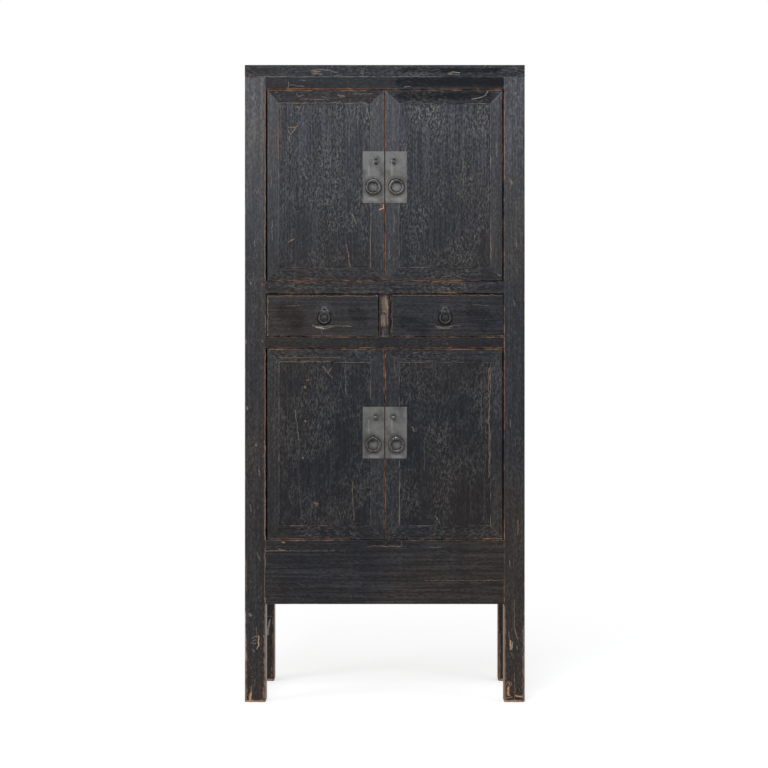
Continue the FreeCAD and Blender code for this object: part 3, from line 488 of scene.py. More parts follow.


# %% [markdown]
# ## Marks of one life
#
# Some marks are this cabinet's own: a knot that has shrunk, scratches, chips down to the ground,
# the crescents that the drawers' rings have rubbed. Others are painted shade, painted shadows of
# the rings and washers, and painted highlights on the plates. Each is given by two places in the
# photograph, the half of its width in millimetres and its tone. One that bends is made of several.
# A seventh number makes a mark a circle: it is the radius in millimetres.

# %% Marks seen in the photograph
# Tones, in the order in which they are laid on: the colour, and how well it covers
TONES = {
    "dust": (shown(122, 108, 92), 0.5),
    # The next tone is real smoke and dirt, and also painted shadow round the plates' rings
    "smoke": (shown(66, 48, 42), 0.6),
    "trace": (shown(104, 102, 102), 0.3),
    "haze": (shown(96, 97, 102), 0.22),
    "pale": (shown(126, 122, 118), 0.55),
    # The next tone is a painted highlight inside the plates' rings, and lighter sheet above and
    # below
    "bright": (shown(122, 119, 117), 0.45),
    "tan": (shown(146, 118, 96), 0.6),
    "ground": (shown(136, 84, 56), 0.65),
    "chalk": (shown(168, 162, 154), 0.75),
    "bare": (shown(206, 158, 124), 0.75),
    # The next two tones are painted shade, the second one fainter
    "shade": (shown(13, 13, 15), 0.5),
    "dusk": (shown(13, 13, 15), 0.22),
    # The next tone is dark dirt, and also painted shadow under and round the rings and washers
    "soot": (shown(10, 9, 9), 0.9),
}
MARKS = {
    "top_frame": [
        (249, 75.6, 250, 75.6, 3, "ground"), (311, 71, 318, 69, 2.2, "pale"),
        (318, 69, 329, 70, 2, "pale"), (312, 73, 322, 74.5, 2, "pale"),
        (314, 71.5, 320, 71.6, 3, "tan"), (330, 70, 337, 73, 1.8, "pale"),
        (334, 76, 342, 75, 1.6, "pale"), (257, 77, 266, 76.6, 2.2, "pale"),
        (268, 76.8, 287, 76.7, 1.8, "pale"), (448, 73.6, 452, 71.8, 1.5, "tan"),
        (452, 71.8, 460, 72.4, 1.3, "chalk"), (449, 74.4, 460, 74.6, 1.3, "pale"),
        # The broad dark strip over the right half is painted shade
        (449, 73.2, 452, 73.3, 2.4, "tan"), (400, 70, 500, 70, 7, "shade"),
        (288, 77, 400, 76.8, 0.9, "pale"), (420, 70, 440, 69.5, 0.9, "pale"),
        (380, 76.7, 440, 76.7, 0.9, "pale"),
    ],
    "front_top_rail": [
        (288.5, 82, 288.3, 88, 1.6, "tan"), (290, 85, 304, 86.5, 1.5, "pale"),
        (300, 80, 306, 80.3, 1.2, "pale"), (404, 87, 410, 86.6, 2, "pale"),
        # The broad dark strip over the right half is painted shade
        (400, 82, 502, 82, 14, "shade"), (287, 88.7, 330, 88.6, 1, "ground"),
        (266, 88.6, 287, 88.6, 1.1, "smoke"), (330, 88.8, 400, 88.7, 0.6, "ground"),
    ],
    "post_front_left": [
        (253.4, 194, 253.8, 190.5, 1.8, "dust"), (253.8, 190.5, 256.5, 188.5, 1.4, "trace"),
        (258.4, 188, 259, 192.5, 1.5, "pale"), (253.4, 194, 255.8, 197.4, 2, "trace"),
        (255.8, 197.4, 260, 196.4, 1.5, "trace"), (256, 190, 257, 194, 1.2, "tan"),
        (251, 283, 251.3, 284, 3, "tan"), (262, 284, 262, 285, 3, "ground"),
        (246, 340, 246, 343, 2.5, "tan"), (262, 340, 262, 342, 2.5, "ground"),
        (247, 407, 247.3, 409, 3, "tan"), (256, 445, 256, 446, 3, "tan"),
        (250, 614.5, 251, 615.5, 6, "pale"), (252.6, 638, 255, 636.2, 1.8, "pale"),
        (255, 636.2, 257, 637.4, 1.8, "pale"), (258.6, 636, 258.8, 645, 2.2, "bare"),
        (258.8, 645, 257.4, 648.6, 2, "chalk"), (250.4, 643.6, 252.6, 642, 1.8, "pale"),
        (253, 640.6, 256, 639.8, 1.8, "pale"), (253, 644, 256, 643.2, 1.8, "pale"),
        (253.4, 650, 254.2, 651, 2.2, "pale"), (257, 553, 260, 560, 1.7, "pale"),
        (256.3, 627, 256.6, 637, 0.9, "tan"), (250, 700, 250.6, 694, 4, "bare"),
        (250.8, 696, 251.6, 686, 2.6, "tan"), (253.6, 700, 253.8, 688, 1.6, "smoke"),
        (246, 700.9, 266, 701, 2.4, "bare"), (265.7, 606, 265.6, 701, 2.6, "tan"),
        (245.3, 612, 245.3, 660, 1.6, "bare"), (245.6, 684, 245.8, 700, 2, "tan"),
        (259.6, 686, 259.8, 699, 2.2, "smoke"), (256.6, 689, 256.8, 699, 1.3, "smoke"),
        (247, 670, 247.4, 690, 1.4, "smoke"), (253.5, 672, 253.8, 684, 1.1, "smoke"),
        (260, 668, 260, 690, 1.1, "smoke"), (246, 560, 246, 590, 1, "tan"),
        (254, 240, 255, 246, 1.2, "pale"), (250, 505, 251, 512, 1.4, "pale"),
        (259, 470, 260, 476, 1.3, "tan"), (265.1, 90, 265, 150, 1.3, "ground"),
        (265, 150, 264.9, 281, 1, "tan"), (264.8, 553, 264.6, 600, 1, "tan"),
        (264.9, 350, 264.8, 440, 1.4, "ground"), (264.8, 440, 264.7, 540, 1.3, "tan"),
        (252, 660, 253, 672, 1.6, "smoke"), (259, 655, 260, 664, 1.6, "smoke"),
    ],
    "post_front_right": [
        (504.9, 92, 504.8, 180, 0.9, "tan"), (504.7, 350, 504.5, 430, 1.2, "ground"),
        (515.2, 93.5, 515.6, 94, 3, "tan"), (511, 180, 511.4, 184.5, 2.6, "tan"),
        (509.5, 186, 513, 188, 1.2, "trace"), (508.8, 631.8, 510, 641.8, 1.8, "pale"),
        (510.6, 641, 511, 649, 2.6, "bare"), (512.6, 642, 512, 648, 1.6, "chalk"),
        (514.2, 600, 514.6, 629, 1.1, "tan"), (514.4, 629.6, 516, 634, 1.8, "tan"),
        (516, 634, 517.8, 639, 2, "tan"), (516.6, 646, 517, 650, 1.8, "pale"),
        (509, 684, 509, 684, 1.6, "tan", 7), (509, 683.6, 509.4, 684.4, 2.6, "bare"),
        (508.4, 688, 508.6, 695, 3.6, "bare"), (514.6, 673, 514.8, 700, 1.1, "tan"),
        (516, 695.4, 522, 696.6, 2.6, "bare"), (506, 698, 512, 697, 2.6, "tan"),
        (504.4, 701, 524, 701, 2.6, "bare"), (504.5, 606, 504.4, 700, 2.6, "tan"),
        (504.9, 620, 504.9, 634, 4.4, "tan"), (511, 653, 514, 658, 3, "trace"),
        (523.4, 626, 523.4, 672, 1.4, "tan"), (506, 686, 512, 686.6, 1.3, "smoke"),
        (518, 662, 518.4, 690, 1.4, "smoke"), (511.6, 676, 512, 692, 1.4, "smoke"),
        (506.6, 664, 520, 664.4, 1.2, "smoke"), (514, 300, 515, 306, 1.2, "pale"),
        (510, 420, 510.5, 427, 1.4, "pale"), (518, 520, 518, 534, 1.2, "tan"),
        (509, 560, 510, 566, 1.4, "tan"), (516, 240, 516.5, 247, 1.2, "pale"),
        (512, 662, 512.5, 676, 1.6, "smoke"),
    ],
    "upper_door_left_rails": [
        (290, 96.5, 375, 96, 5, "smoke"), (338, 95.2, 344, 95.4, 1.2, "tan"),
        (339.5, 96.8, 344, 96.8, 1.8, "tan"), (296, 94, 298, 96, 1.3, "pale"),
        (298, 96, 303, 95, 1.1, "pale"), (322, 96, 327, 98, 1.3, "pale"),
        (300, 99, 330, 99.5, 1, "pale"), (279, 102.9, 340, 102.9, 1.1, "tan"),
        (345, 103, 366, 103, 0.8, "tan"), (352, 94, 372, 93.6, 0.9, "pale"),
    ],
    "upper_door_left_stiles": [
        (363, 264.4, 374, 272, 1.1, "pale"), (278, 98.6, 279.6, 102, 3.2, "tan"),
        (278.9, 104, 278.8, 160, 1.1, "ground"), (275, 130, 275, 150, 1, "ground"),
        (384.4, 92, 384.4, 150, 0.8, "ground"), (384.2, 205, 384.2, 222, 0.9, "ground"),
        (383.6, 204.5, 383.4, 208, 1.8, "bare"), (383.2, 208.4, 379.4, 209.4, 2, "bare"),
        (382.8, 205.5, 382.4, 207.4, 1.8, "ground"), (271, 170, 271.3, 186, 1.2, "pale"),
        (272, 220, 272, 240, 1.3, "pale"),
    ],
    "upper_door_left_panel": [
        (288.4, 127.4, 295, 127, 1.4, "tan"), (297, 125.6, 293.6, 130, 1.8, "tan"),
        (294, 130, 290, 134.4, 2, "pale"), (289.4, 136, 289.8, 142, 1.7, "pale"),
        (288, 130, 289.2, 132.4, 1.8, "tan"), (289, 115, 291.6, 116.2, 2.2, "trace"),
        (289.4, 120, 293, 123.4, 1.5, "trace"), (307.6, 105, 308.4, 110.6, 2.6, "trace"),
        (346, 244, 348.4, 256, 1.3, "tan"), (348.4, 256, 350, 267, 1.5, "tan"),
        (288, 241.6, 291, 240.6, 2.4, "dust"), (291.4, 240.2, 294.2, 238.4, 2, "tan"),
        (291, 114.5, 291.4, 115.5, 2.6, "pale"), (366, 204.6, 366.3, 205.4, 2.8, "ground"),
        (296, 107, 299, 107.3, 2, "tan"), (320, 108, 322, 113, 1.5, "pale"),
        (301, 247, 304, 245.4, 1.5, "trace"), (352, 214, 356, 224, 1.6, "pale"),
        (304, 172, 307, 179, 1.8, "pale"),
    ],
    "upper_door_right_stiles": [
        (386.6, 91, 399.8, 103.5, 1, "chalk"), (503, 91.8, 491.4, 103.4, 1, "pale"),
        (385.3, 205, 385.3, 230, 0.7, "ground"), (386.6, 208, 399, 207.6, 1.2, "trace"),
        (387, 212.4, 399.6, 212.8, 1.1, "trace"), (400.3, 210, 400.2, 257, 0.9, "tan"),
        (489.6, 268.4, 500, 276, 1.2, "pale"), (490.6, 113, 490.8, 264, 0.9, "trace"),
        (490.8, 237, 490.9, 258, 1, "tan"), (496, 140, 496.4, 156, 1.2, "pale"),
        (394, 214, 394.5, 232, 1, "pale"), (389, 240, 389.4, 258, 0.9, "pale"),
    ],
    "upper_door_right_rails": [
        (472.3, 99, 480.5, 97.4, 1.6, "chalk"), (480.5, 97.4, 486, 95, 1.4, "chalk"),
        # The broad dark strip along the rail is painted shade
        (486, 95, 487.7, 91.8, 1.2, "chalk"), (400, 96, 488, 95.6, 12, "shade"),
        (405, 95, 430, 94.6, 0.9, "smoke"), (440, 99, 462, 98.6, 0.9, "smoke"),
    ],
    "upper_door_right_panel": [
        (414, 209, 416, 212, 1.8, "trace"), (468, 120, 468.6, 131, 1.3, "trace"),
        (452, 176, 452.6, 190, 1.4, "trace"), (462, 236, 463, 240, 1.6, "tan"),
        (457, 224, 457.6, 232, 1.4, "trace"), (455, 224, 454, 231, 1.6, "soot"),
    ],
    "drawer_divider": [
        (384, 299, 385, 312, 12, "dust"), (384, 316, 384, 324, 11, "dust"),
        (386, 297, 386.6, 309, 3.4, "tan"), (384, 312.8, 384.8, 313.8, 2.4, "soot"),
        (382, 316, 381.4, 325, 1.8, "tan"), (384.2, 318, 384.4, 325, 1.8, "tan"),
        (379.6, 318, 380, 328, 2, "smoke"), (387.4, 300, 387.6, 325, 1.6, "tan"),
        (383.6, 311.4, 385.2, 311.4, 1.4, "tan"), (383, 327, 387, 332, 3, "smoke"),
        (381, 336, 388, 336.4, 1.2, "pale"), (384.6, 330, 384.6, 335, 10, "haze"),
        (382.4, 330, 383, 335, 1.2, "tan"), (390.2, 294, 390.2, 337, 1.6, "soot"),
    ],
    "drawer_left_front": [
        (313, 325.8, 322, 327, 3, "dust"), (322, 327, 334, 325.8, 3, "dust"),
        # Painted shadow just below the ring, and faint painted shade either side of it
        (316, 327.2, 324, 328.6, 1.8, "chalk"), (315, 324.6, 333, 324.4, 1.6, "soot"),
        (324.3, 308, 324.3, 316, 30, "haze"), (286, 312, 296, 320, 30, "dusk"),
        (355, 312, 362, 318, 22, "dusk"), (324, 328.8, 332, 327.4, 1.2, "tan"),
        (335, 325.4, 351, 326.4, 1.6, "dust"), (345, 322.6, 349, 322.4, 1, "trace"),
        (346.6, 326.6, 351, 326.6, 1.2, "tan"), (376.5, 294.8, 378.6, 297, 2, "tan"),
        (266, 294.2, 378, 294.2, 2.8, "soot"), (268, 296, 376, 296, 0.9, "tan"),
        (267.6, 296, 267.6, 335, 1, "tan"), (317, 306, 314, 318, 1, "trace"),
        (331, 306, 335, 317, 1, "trace"), (304, 331.6, 322, 332, 3, "smoke"),
        (321.4, 330, 322.6, 334, 2, "trace"), (328, 299.5, 340, 300, 1.6, "smoke"),
        (312, 331, 322, 332.4, 2, "smoke"), (286, 306, 300, 305.6, 0.8, "pale"),
    ],
    "drawer_right_front": [
        (436, 326, 443, 327.2, 2.8, "dust"), (443, 327.2, 452, 326, 2.8, "dust"),
        # Painted shadow just below the ring, and faint painted shade either side of it
        (437, 327.6, 444, 328.4, 1.5, "pale"), (437, 324.8, 453, 324.6, 1.5, "soot"),
        (444.6, 308, 444.6, 314, 22, "haze"), (474, 312, 486, 322, 30, "dusk"),
        (404, 322, 424, 328, 20, "dusk"), (444, 328.8, 450, 327.8, 1.2, "tan"),
        (452, 325, 460, 325.8, 1.4, "dust"), (391.9, 297, 391.9, 335, 0.8, "tan"),
        (392, 295.4, 502, 295.2, 0.8, "tan"), (470, 320, 492, 319.4, 0.8, "trace"),
        (392, 294.2, 504, 294.2, 2.6, "soot"), (437, 306, 434, 318, 1, "trace"),
        (451, 306, 455, 317, 1, "trace"), (472, 304, 488, 306, 0.8, "pale"),
    ],
    "lower_door_left_panel": [
        (305.3, 386.6, 305.7, 387.6, 2.8, "tan"), (305.3, 420.6, 305.6, 421.6, 2.8, "tan"),
        (302.3, 457.5, 302.6, 458.6, 2.8, "tan"), (292.6, 372, 295, 410, 0.8, "trace"),
        (295, 410, 298.6, 440, 1.2, "pale"), (298.6, 440, 299, 480, 1.2, "trace"),
        (299, 480, 301.4, 515, 1.4, "trace"), (286.4, 380, 288.6, 460, 0.8, "trace"),
        (314, 503, 318, 504, 1.6, "tan"), (314.6, 502, 317, 506, 1.4, "tan"),
        (306.6, 380.4, 309, 379.6, 2, "tan"), (322, 366, 332, 378, 1.3, "pale"),
        (332, 367, 328, 372, 1.2, "tan"), (318.4, 420, 317.6, 436, 1.2, "trace"),
        (331, 390, 331, 416, 1.1, "trace"), (345, 365, 346, 395, 1.3, "dust"),
        (352, 480, 354, 520, 1.2, "dust"),
    ],
    "lower_door_right_panel": [
        (412, 427, 414, 431, 2.8, "dust"), (415.4, 428, 416, 431, 1.6, "dust"),
        (401.6, 470, 399.4, 490, 1.8, "trace"), (399.4, 490, 400, 515, 1.4, "trace"),
        (424, 440, 424.6, 470, 1.2, "trace"), (470, 480, 470.6, 515, 1.1, "trace"),
        (489, 368, 489.2, 478, 1.5, "tan"), (484, 372, 486, 440, 1, "trace"),
        (486, 440, 484, 520, 1, "trace"), (481, 380, 481.4, 430, 0.9, "dust"),
        (434, 516, 440, 522, 1.3, "pale"),
    ],
    "lower_door_left_rails": [
        (279, 357.6, 340, 357.5, 0.9, "tan"), (279, 361.6, 330, 361.6, 0.8, "tan"),
        (300, 527, 330, 526.6, 0.9, "smoke"),
    ],
    "front_bottom_rail": [
        (282.5, 542, 284, 542.2, 3, "tan"), (279, 549.5, 284, 550.8, 2.8, "tan"),
        (265.5, 551, 335, 551, 0.9, "tan"), (367.5, 541.8, 367.5, 545.8, 1, "tan"),
        (367.5, 546, 401.5, 546.3, 1, "tan"), (401.5, 542, 401.5, 546, 1, "dust"),
        (430, 547, 441, 547.3, 1, "pale"),
    ],
    "front_apron": [
        (425, 580.6, 503, 580.4, 0.8, "tan"), (293, 571.6, 297, 572.4, 1.4, "trace"),
        (289, 588, 292, 589, 1.6, "trace"), (298, 583, 306, 587, 1.3, "trace"),
        (296, 596, 299, 600, 1.6, "trace"), (355, 562, 357, 562.6, 1.2, "trace"),
        (390, 575, 398, 576, 1.4, "smoke"), (450, 560, 454, 560.4, 1.4, "trace"),
        (300, 592, 330, 590, 1.6, "smoke"),
    ],
    "post_back_left": [
        (258.8, 652, 259.6, 644, 4, "chalk"), (259.6, 644, 261.2, 637, 3, "chalk"),
        (258, 633.4, 263, 633.4, 1.8, "tan"), (263.6, 660, 263.8, 700, 2.2, "smoke"),
        (257, 700.4, 264, 700.8, 2.6, "bare"),
    ],
    "post_back_right": [
        (505.6, 652, 505.8, 700, 2.2, "tan"), (505, 700.6, 512, 700.8, 2.4, "bare"),
    ],
}
print("marks", sum(len(marks) for marks in MARKS.values()))

# %% [markdown]
# ## Black lacquer
#
# The lacquer is thin, brushed over a red-brown ground on softwood. Along the grain it has sunk and
# greyed in fine lines, in the panels it has crazed, and on every arris hands have rubbed it through
# to the ground and the wood. One function makes all of its kinds, because they differ only in how
# much of each they have.

# %% Colours of the lacquer
LACQUER = shown(16, 17, 22)
LACQUER_WARM = shown(28, 22, 20)
GREY_COOL = shown(109, 110, 122)
GREY_WARM = shown(122, 117, 109)
CHALK = shown(150, 147, 143)
GROUND = shown(118, 72, 46)
WOOD = shown(156, 120, 92)
PALE = shown(124, 122, 118)
SEED_SPREAD = (31, 17, 23)


def board_wires(start):
    """What dressing stored on the points, and the place on the cabinet, as wires."""

    def stored(name, output):
        return start.node("Attribute", {"attribute_name": name}, {}, output)

    board = stored("board_place", "Vector")
    return {
        "place": start.node("TexCoord", {}, {}, "Object"),
        "board": board,
        "grain": board.vector("ADD", stored("board_seed", "Fac").times(SEED_SPREAD)),
        "half": stored("board_half", "Vector"),
        "ends": stored("board_ends", "Vector"),
        "wear": stored("board_wear", "Vector"),
    }


def arris_distance(wires):
    """How far a point is from the nearest arris that runs along the grain."""
    across, through = [abs(part) for part in wires["board"].parts()[1:]]
    half_across, half_through = wires["half"].parts()[1:]
    return (half_across - across).most(half_through - through)


# %% One mark
# Marks sway by a part of SWAY, in metres, and their borders fray by a part of their half width
TINY = 1e-9
MM_PER_METRE = 1000
DEPTH_SHARE = 0.3
SWAY = (0.011, 0, 0.011)
SWAY_NOISE = {"Scale": 55, "Detail": 4, "Roughness": 0.7}
RAGGED_NOISE = ((420, 420, 420), 4, 0.7)
RAGGED_SPAN = 4
RAGGED_MIDDLE = 1.9
MARK_EDGE = (1.1, 0.6)


def mark_mask(flat_place, ragged, mark, front):
    """1 on a mark that runs between two places in the photograph, or on a circle round them if the
    mark has a radius too. It lies on the node's front, and depth counts little."""
    first, last = [from_photo(*mark[at:at + 2]) for at in (0, 2)]
    radius = sum(mark[6:]) / MM_PER_METRE
    first.y = last.y = front * DEPTH_SHARE
    run = last - first
    half_width = mark[4] / MM_PER_METRE
    away = flat_place.vector("SUBTRACT", first)
    share = away.vector("DOT_PRODUCT", run / max(run.length_squared, TINY), "Value")
    share = share.node("Clamp", {}, {"Value": share})
    distance = away.vector("DISTANCE", share.times(run), "Value")
    distance = abs(distance - radius) if radius else distance
    return (distance + ragged * half_width).step(*[half_width * part for part in MARK_EDGE])


def add_marks(colour, place, node):
    """The colour with this node's own marks on it, and where they are."""
    sway = place.node("TexNoise", {}, {"Vector": place, **SWAY_NOISE}, "Color")
    sway = sway.vector("SUBTRACT", (0.5, 0.5, 0.5)).vector("MULTIPLY", SWAY)
    flat_place = place.vector("MULTIPLY", (1, DEPTH_SHARE, 1)).vector("ADD", sway)
    ragged = place.noise(*RAGGED_NOISE) * RAGGED_SPAN - RAGGED_MIDDLE
    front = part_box(node)[0].y
    anywhere = None
    for tone, (paint, covering) in TONES.items():
        mask = None
        for mark in MARKS[node]:
            if mark[5] == tone:
                other = mark_mask(flat_place, ragged, mark, front)
                mask = mask.most(other) if mask else other
        if mask:
            colour = (mask * covering).tint(colour, paint)
            anywhere = anywhere.most(mask) if anywhere else mask
    return colour, anywhere


# %% Noises and masks of the lacquer
# Noises: cells to the metre along three axes, detail and roughness. By the place on the cabinet:
CLOUDS = ((2.3, 2.3, 1.6), 3)
PATCHES = ((9, 9, 5), 5, 0.65)
ZONES = ((12, 12, 6), 5, 0.74)
LONG_BITES = ((11, 11, 11), 3, 0.6)
SPECKS = ((190, 190, 190), 4, 0.75)
FOOT_SPECKS = ((200, 200, 90), 4, 0.75)
# By the place on the board, along its grain, across it and through it:
LINES = ((3.5, 160, 160), 4, 0.65)
DASHES = ((85, 190, 190), 3, 0.62)
WARPS = ((70, 180, 180), 3)
FLECKS = ((60, 250, 250), 3, 0.65)
BITES = ((45, 230, 230), 5, 0.72)
NET_CELLS = (56, 200, 200)

# Masks: the value where one starts and the value where it is full
WARM_FROM = (0.24, 0.54)
# Heights in metres between which the painted sheen on the lacquer rises
SHEEN_RISE = (1.2, 2.0)
PIT_BELOW = (0.45, 0.36)
LINE_FROM = (0.42, 0.62)
DASH_FROM = (0.5, 0.66)
ZONE_FROM = (0.38, 0.64)
NET_WITHIN = (0.2, 0.05)
NET_BROKEN = (0.4, 0.54)
FLECK_FROM = (0.58, 0.64)
SPECK_FROM = (0.67, 0.73)
FOOT_SPECK_FROM = (0.58, 0.64)
FOOT_BELOW = (0.42, 0.0)
RUBBED_FROM = (-0.0003, 0.0005)
WOOD_FROM = (0.46, 0.6)
SEAM_WITHIN = (0.0011, 0.0004)
SEAM_BROKEN = (0.4, 0.6)

# Strength of the relief, and its depth in metres
RELIEF = (0.7, 0.0012)

# Amounts; the last three are in metres. Other numbers below are weights in a mix
COOLER_PER_METRE = 0.14
PIT_DEPTH = 0.9
LEAST_TEXTURE = 0.022
RUBBED_COVER = 0.75
SPECK_COVER = 0.35
REACH_PER_WEAR = 8
WARP_REACH = (0.016, 0.009, 0)
FOOT_REACH = (0.028, 0.0026)
FOOT_EDGE = 0.0005
# Heights of the painted sheen on the lacquer, and of the worn feet
print("bloom rises between", SHEEN_RISE, "m, feet are worn below", FOOT_BELOW[0], "m")


# %% Lacquer of any kind
def lacquer(node, kind):
    """Black lacquer of a kind, with a node's own marks."""
    bloom, rise, lines, specks, crazing, wear, gloss, shine, mitre, foot = kind
    material, start, shader = start_material(node + "_lacquer")
    wires = board_wires(start)
    place, grain = wires["place"], wires["grain"]
    height = place.parts()[2]

    # Warm and cool black, and over it a grey bloom and a painted sheen that grows stronger high up
    clouds = place.noise(*CLOUDS)
    warm = (clouds - height * COOLER_PER_METRE).step(*WARM_FROM)
    line = grain.noise(*LINES)
    dash = grain.noise(*DASHES)
    bloom_and_sheen = (height.step(*SHEEN_RISE) * rise + bloom) * (place.noise(*PATCHES) * 1.6 + 0.2)
    pits = dash.step(*PIT_BELOW) * PIT_DEPTH
    texture = line.step(*LINE_FROM) * lines + dash.step(*DASH_FROM) * specks
    light = (bloom_and_sheen * 0.25 + (bloom_and_sheen + LEAST_TEXTURE) * texture) * (1 - pits)

    # Crazed patches: dark between pale borders, with a few pale flecks about them
    bent = grain.vector("ADD", grain.noise(*WARPS).times(WARP_REACH))
    zone = place.noise(*ZONES).step(*ZONE_FROM)
    net = bent.cracks(NET_CELLS).step(*NET_WITHIN) * dash.step(*NET_BROKEN) * zone
    fleck = grain.noise(*FLECKS).step(*FLECK_FROM) * (zone * 0.55 + 0.45)
    light = light * (1 - zone * crazing)
    colour = warm.tint(LACQUER, LACQUER_WARM)
    colour = light.tint(colour, warm.tint(GREY_COOL, GREY_WARM))
    chalk = (net * 1.2 + fleck) * (bloom_and_sheen * 1.2 + 0.1) * (crazing * 2)
    colour = chalk.tint(colour, CHALK)

    # Worn arrises, and the foot worn further
    near = arris_distance(wires)
    share, paleness = wires["wear"].parts()[:2]
    bite = grain.noise(*BITES)
    long_bite = place.noise(*LONG_BITES)
    reach = (bite * 0.55 + long_bite * 0.45 - 0.42) * share * (wear * REACH_PER_WEAR)
    if foot:
        low_down = height.step(*FOOT_BELOW) * foot
        reach = reach + low_down * ((bite - 0.4) * FOOT_REACH[0] + FOOT_REACH[1])
        near = near.least(height + FOOT_EDGE)
        speck = place.noise(*FOOT_SPECKS).step(*FOOT_SPECK_FROM) * (low_down * 0.7 + 0.1)
    else:
        speck = place.noise(*SPECKS).step(*SPECK_FROM) * SPECK_COVER
    rubbed = (reach - near).step(*RUBBED_FROM).most(speck)
    bare = (bite.step(*WOOD_FROM) * 0.8).tint(GROUND, WOOD)
    colour = (rubbed * RUBBED_COVER).tint(colour, paleness.tint(bare, PALE))

    # The pale lines of the mitres, and the node's own marks
    if mitre:
        first, second = wires["ends"].parts()[:2]
        seam = first.least(second).step(*SEAM_WITHIN) * long_bite.step(*SEAM_BROKEN) * mitre
        colour = seam.tint(colour, PALE)
    if node in MARKS:
        colour, marked = add_marks(colour, place, node)
        rubbed = rubbed.most(marked)

    shader.inputs["Specular IOR Level"].default_value = shine
    roughness = gloss + light * 0.12 + rubbed * 0.25 + clouds * 0.08
    surface = dash * 0.5 + line * 0.5 - net * (crazing * 1.5) - rubbed * 0.5
    cover(shader, colour, roughness, surface, RELIEF)
    return material


# Of each kind: bloom low down, the painted sheen added towards the top, its lines and its specks;
# crazing; reach of wear in metres; roughness, shine; strength of mitre lines; wear of the foot
KINDS = {
    "post": (0.024, 0.12, 1.3, 1.4, 0.22, 0.0022, 0.34, 0.24, 0, 1),
    "cornice": (0.038, 0, 1.6, 1.8, 0.45, 0.0018, 0.46, 0.14, 0, 0),
    "rail": (0.002, 0, 1.6, 1.8, 0.25, 0.0018, 0.46, 0.14, 0, 0),
    "drawer": (0.036, 0.016, 1.4, 0.7, 0.08, 0.0026, 0.42, 0.16, 0, 0),
    "stile": (0.02, 0.075, 1.6, 1.6, 0.3, 0.003, 0.36, 0.22, 0.25, 0),
    "door_rail": (0.024, 0, 1.6, 1.8, 0.45, 0.0026, 0.46, 0.14, 0.25, 0),
    "panel": (0, 0.12, 1.8, 1.6, 0.55, 0.0006, 0.42, 0.15, 0, 0),
    "apron": (0.036, 0, 1.9, 0.7, 0.08, 0.0014, 0.46, 0.16, 0, 0),
}
shared = {}


def lacquer_for(node, kind):
    """A node with marks of its own gets its own lacquer, the others share one of their kind."""
    name = node if node in MARKS else kind
    if name not in shared:
        shared[name] = lacquer(name, KINDS[kind])
    return shared[name]


# %% [markdown]
# ## Bare wood
#
# Inside, and on the drawers' boxes, such cabinets are plain softwood that has gone brown. Its grain
# has broad pale early wood and narrow dark late wood.

# %% Softwood
WANDER = ((2.5, 14, 14), 3)
FIBRES = ((14, 600, 600), 4, 0.6)
STAINS = ((3.5, 3.5, 3.5), 4, 0.6)
RINGS = 34
LATE_FROM = (0.55, 0.95)
LATE_UNTIL = (1.0, 0.96)
FIBRE_FROM = (0.3, 0.7)
STAIN_FROM = (0.35, 0.75)
WOOD_RELIEF = (0.3, 0.0005)


def softwood(name, pale, dark, gloss):
    material, start, shader = start_material(name)
    wires = board_wires(start)
    place, grain = wires["place"], wires["grain"]
    wander = grain.noise(*WANDER)
    ring = wander.math("FRACT", wander * RINGS)
    late = ring.step(*LATE_FROM) * ring.step(*LATE_UNTIL)
    fibre = grain.noise(*FIBRES).step(*FIBRE_FROM)
    stain = place.noise(*STAINS).step(*STAIN_FROM)
    colour = (late * 0.5 + fibre * 0.3 + stain * 0.35).tint(pale, dark)
    cover(shader, colour, gloss + fibre * 0.15, fibre * 0.6 + late * 0.4, WOOD_RELIEF)
    return material


bare_wood = softwood("bare_wood", shown(172, 138, 102), shown(104, 74, 50), 0.62)
back_lacquer = softwood("back_lacquer", shown(84, 70, 58), shown(32, 27, 25), 0.55)
print("nodes in the bare wood", len(bare_wood.node_tree.nodes))

# %% [markdown]
# ## Metal
#
# The face plates are thin sheet gone a soft grey, with cloudy stains. The rings, eyes and washers
# are darker, and shine a little where fingers touch them.

# %% Metal that has aged
METAL_CLOUDS = ((26, 26, 18), 5, 0.62)
METAL_SPECKS = ((420, 420, 420), 3, 0.7)
BRUSHING = ((260, 260, 60), 4, 0.7)
STAINED_FROM = (0.42, 0.64)
BRIGHT_FROM = (0.6, 0.75)
METAL_RELIEF = (0.4, 0.0006)

# Tones: clear, stained and rubbed
RING_TONES = ((74, 73, 72), (40, 39, 38), (140, 140, 138))
WASHER_TONES = ((84, 82, 80), (56, 54, 52), (120, 118, 116))
DRAWER_TONES = ((60, 59, 58), (34, 33, 32), (104, 103, 101))
PLATE_TONES = ((88, 86, 84), (64, 62, 60), (124, 121, 118))


def aged_metal(name, tones, metal, gloss, mottle):
    """Metal with three tones, and with the marks of the node that it is named after, if any."""
    clear, stain, rubbed = [shown(*tone) for tone in tones]
    material, start, shader = start_material(name)
    place = start.node("TexCoord", {}, {}, "Object")
    clouds = place.noise(*METAL_CLOUDS)
    specks = place.noise(*METAL_SPECKS)
    brushed = place.noise(*BRUSHING)
    stained = (clouds * 0.75 + specks * 0.25).step(*STAINED_FROM)
    bright = specks.step(*BRIGHT_FROM) * 0.4 + (brushed.most(0.5) - 0.5) * mottle
    colour = bright.tint(stained.tint(clear, stain), rubbed)
    if name in MARKS:
        colour = add_marks(colour, place, name)[0]
    shader.inputs["Metallic"].default_value = metal
    surface = clouds * 0.6 + specks * 0.2 + brushed * 0.2
    cover(shader, colour, gloss + stained * 0.15, surface, METAL_RELIEF)
    return material


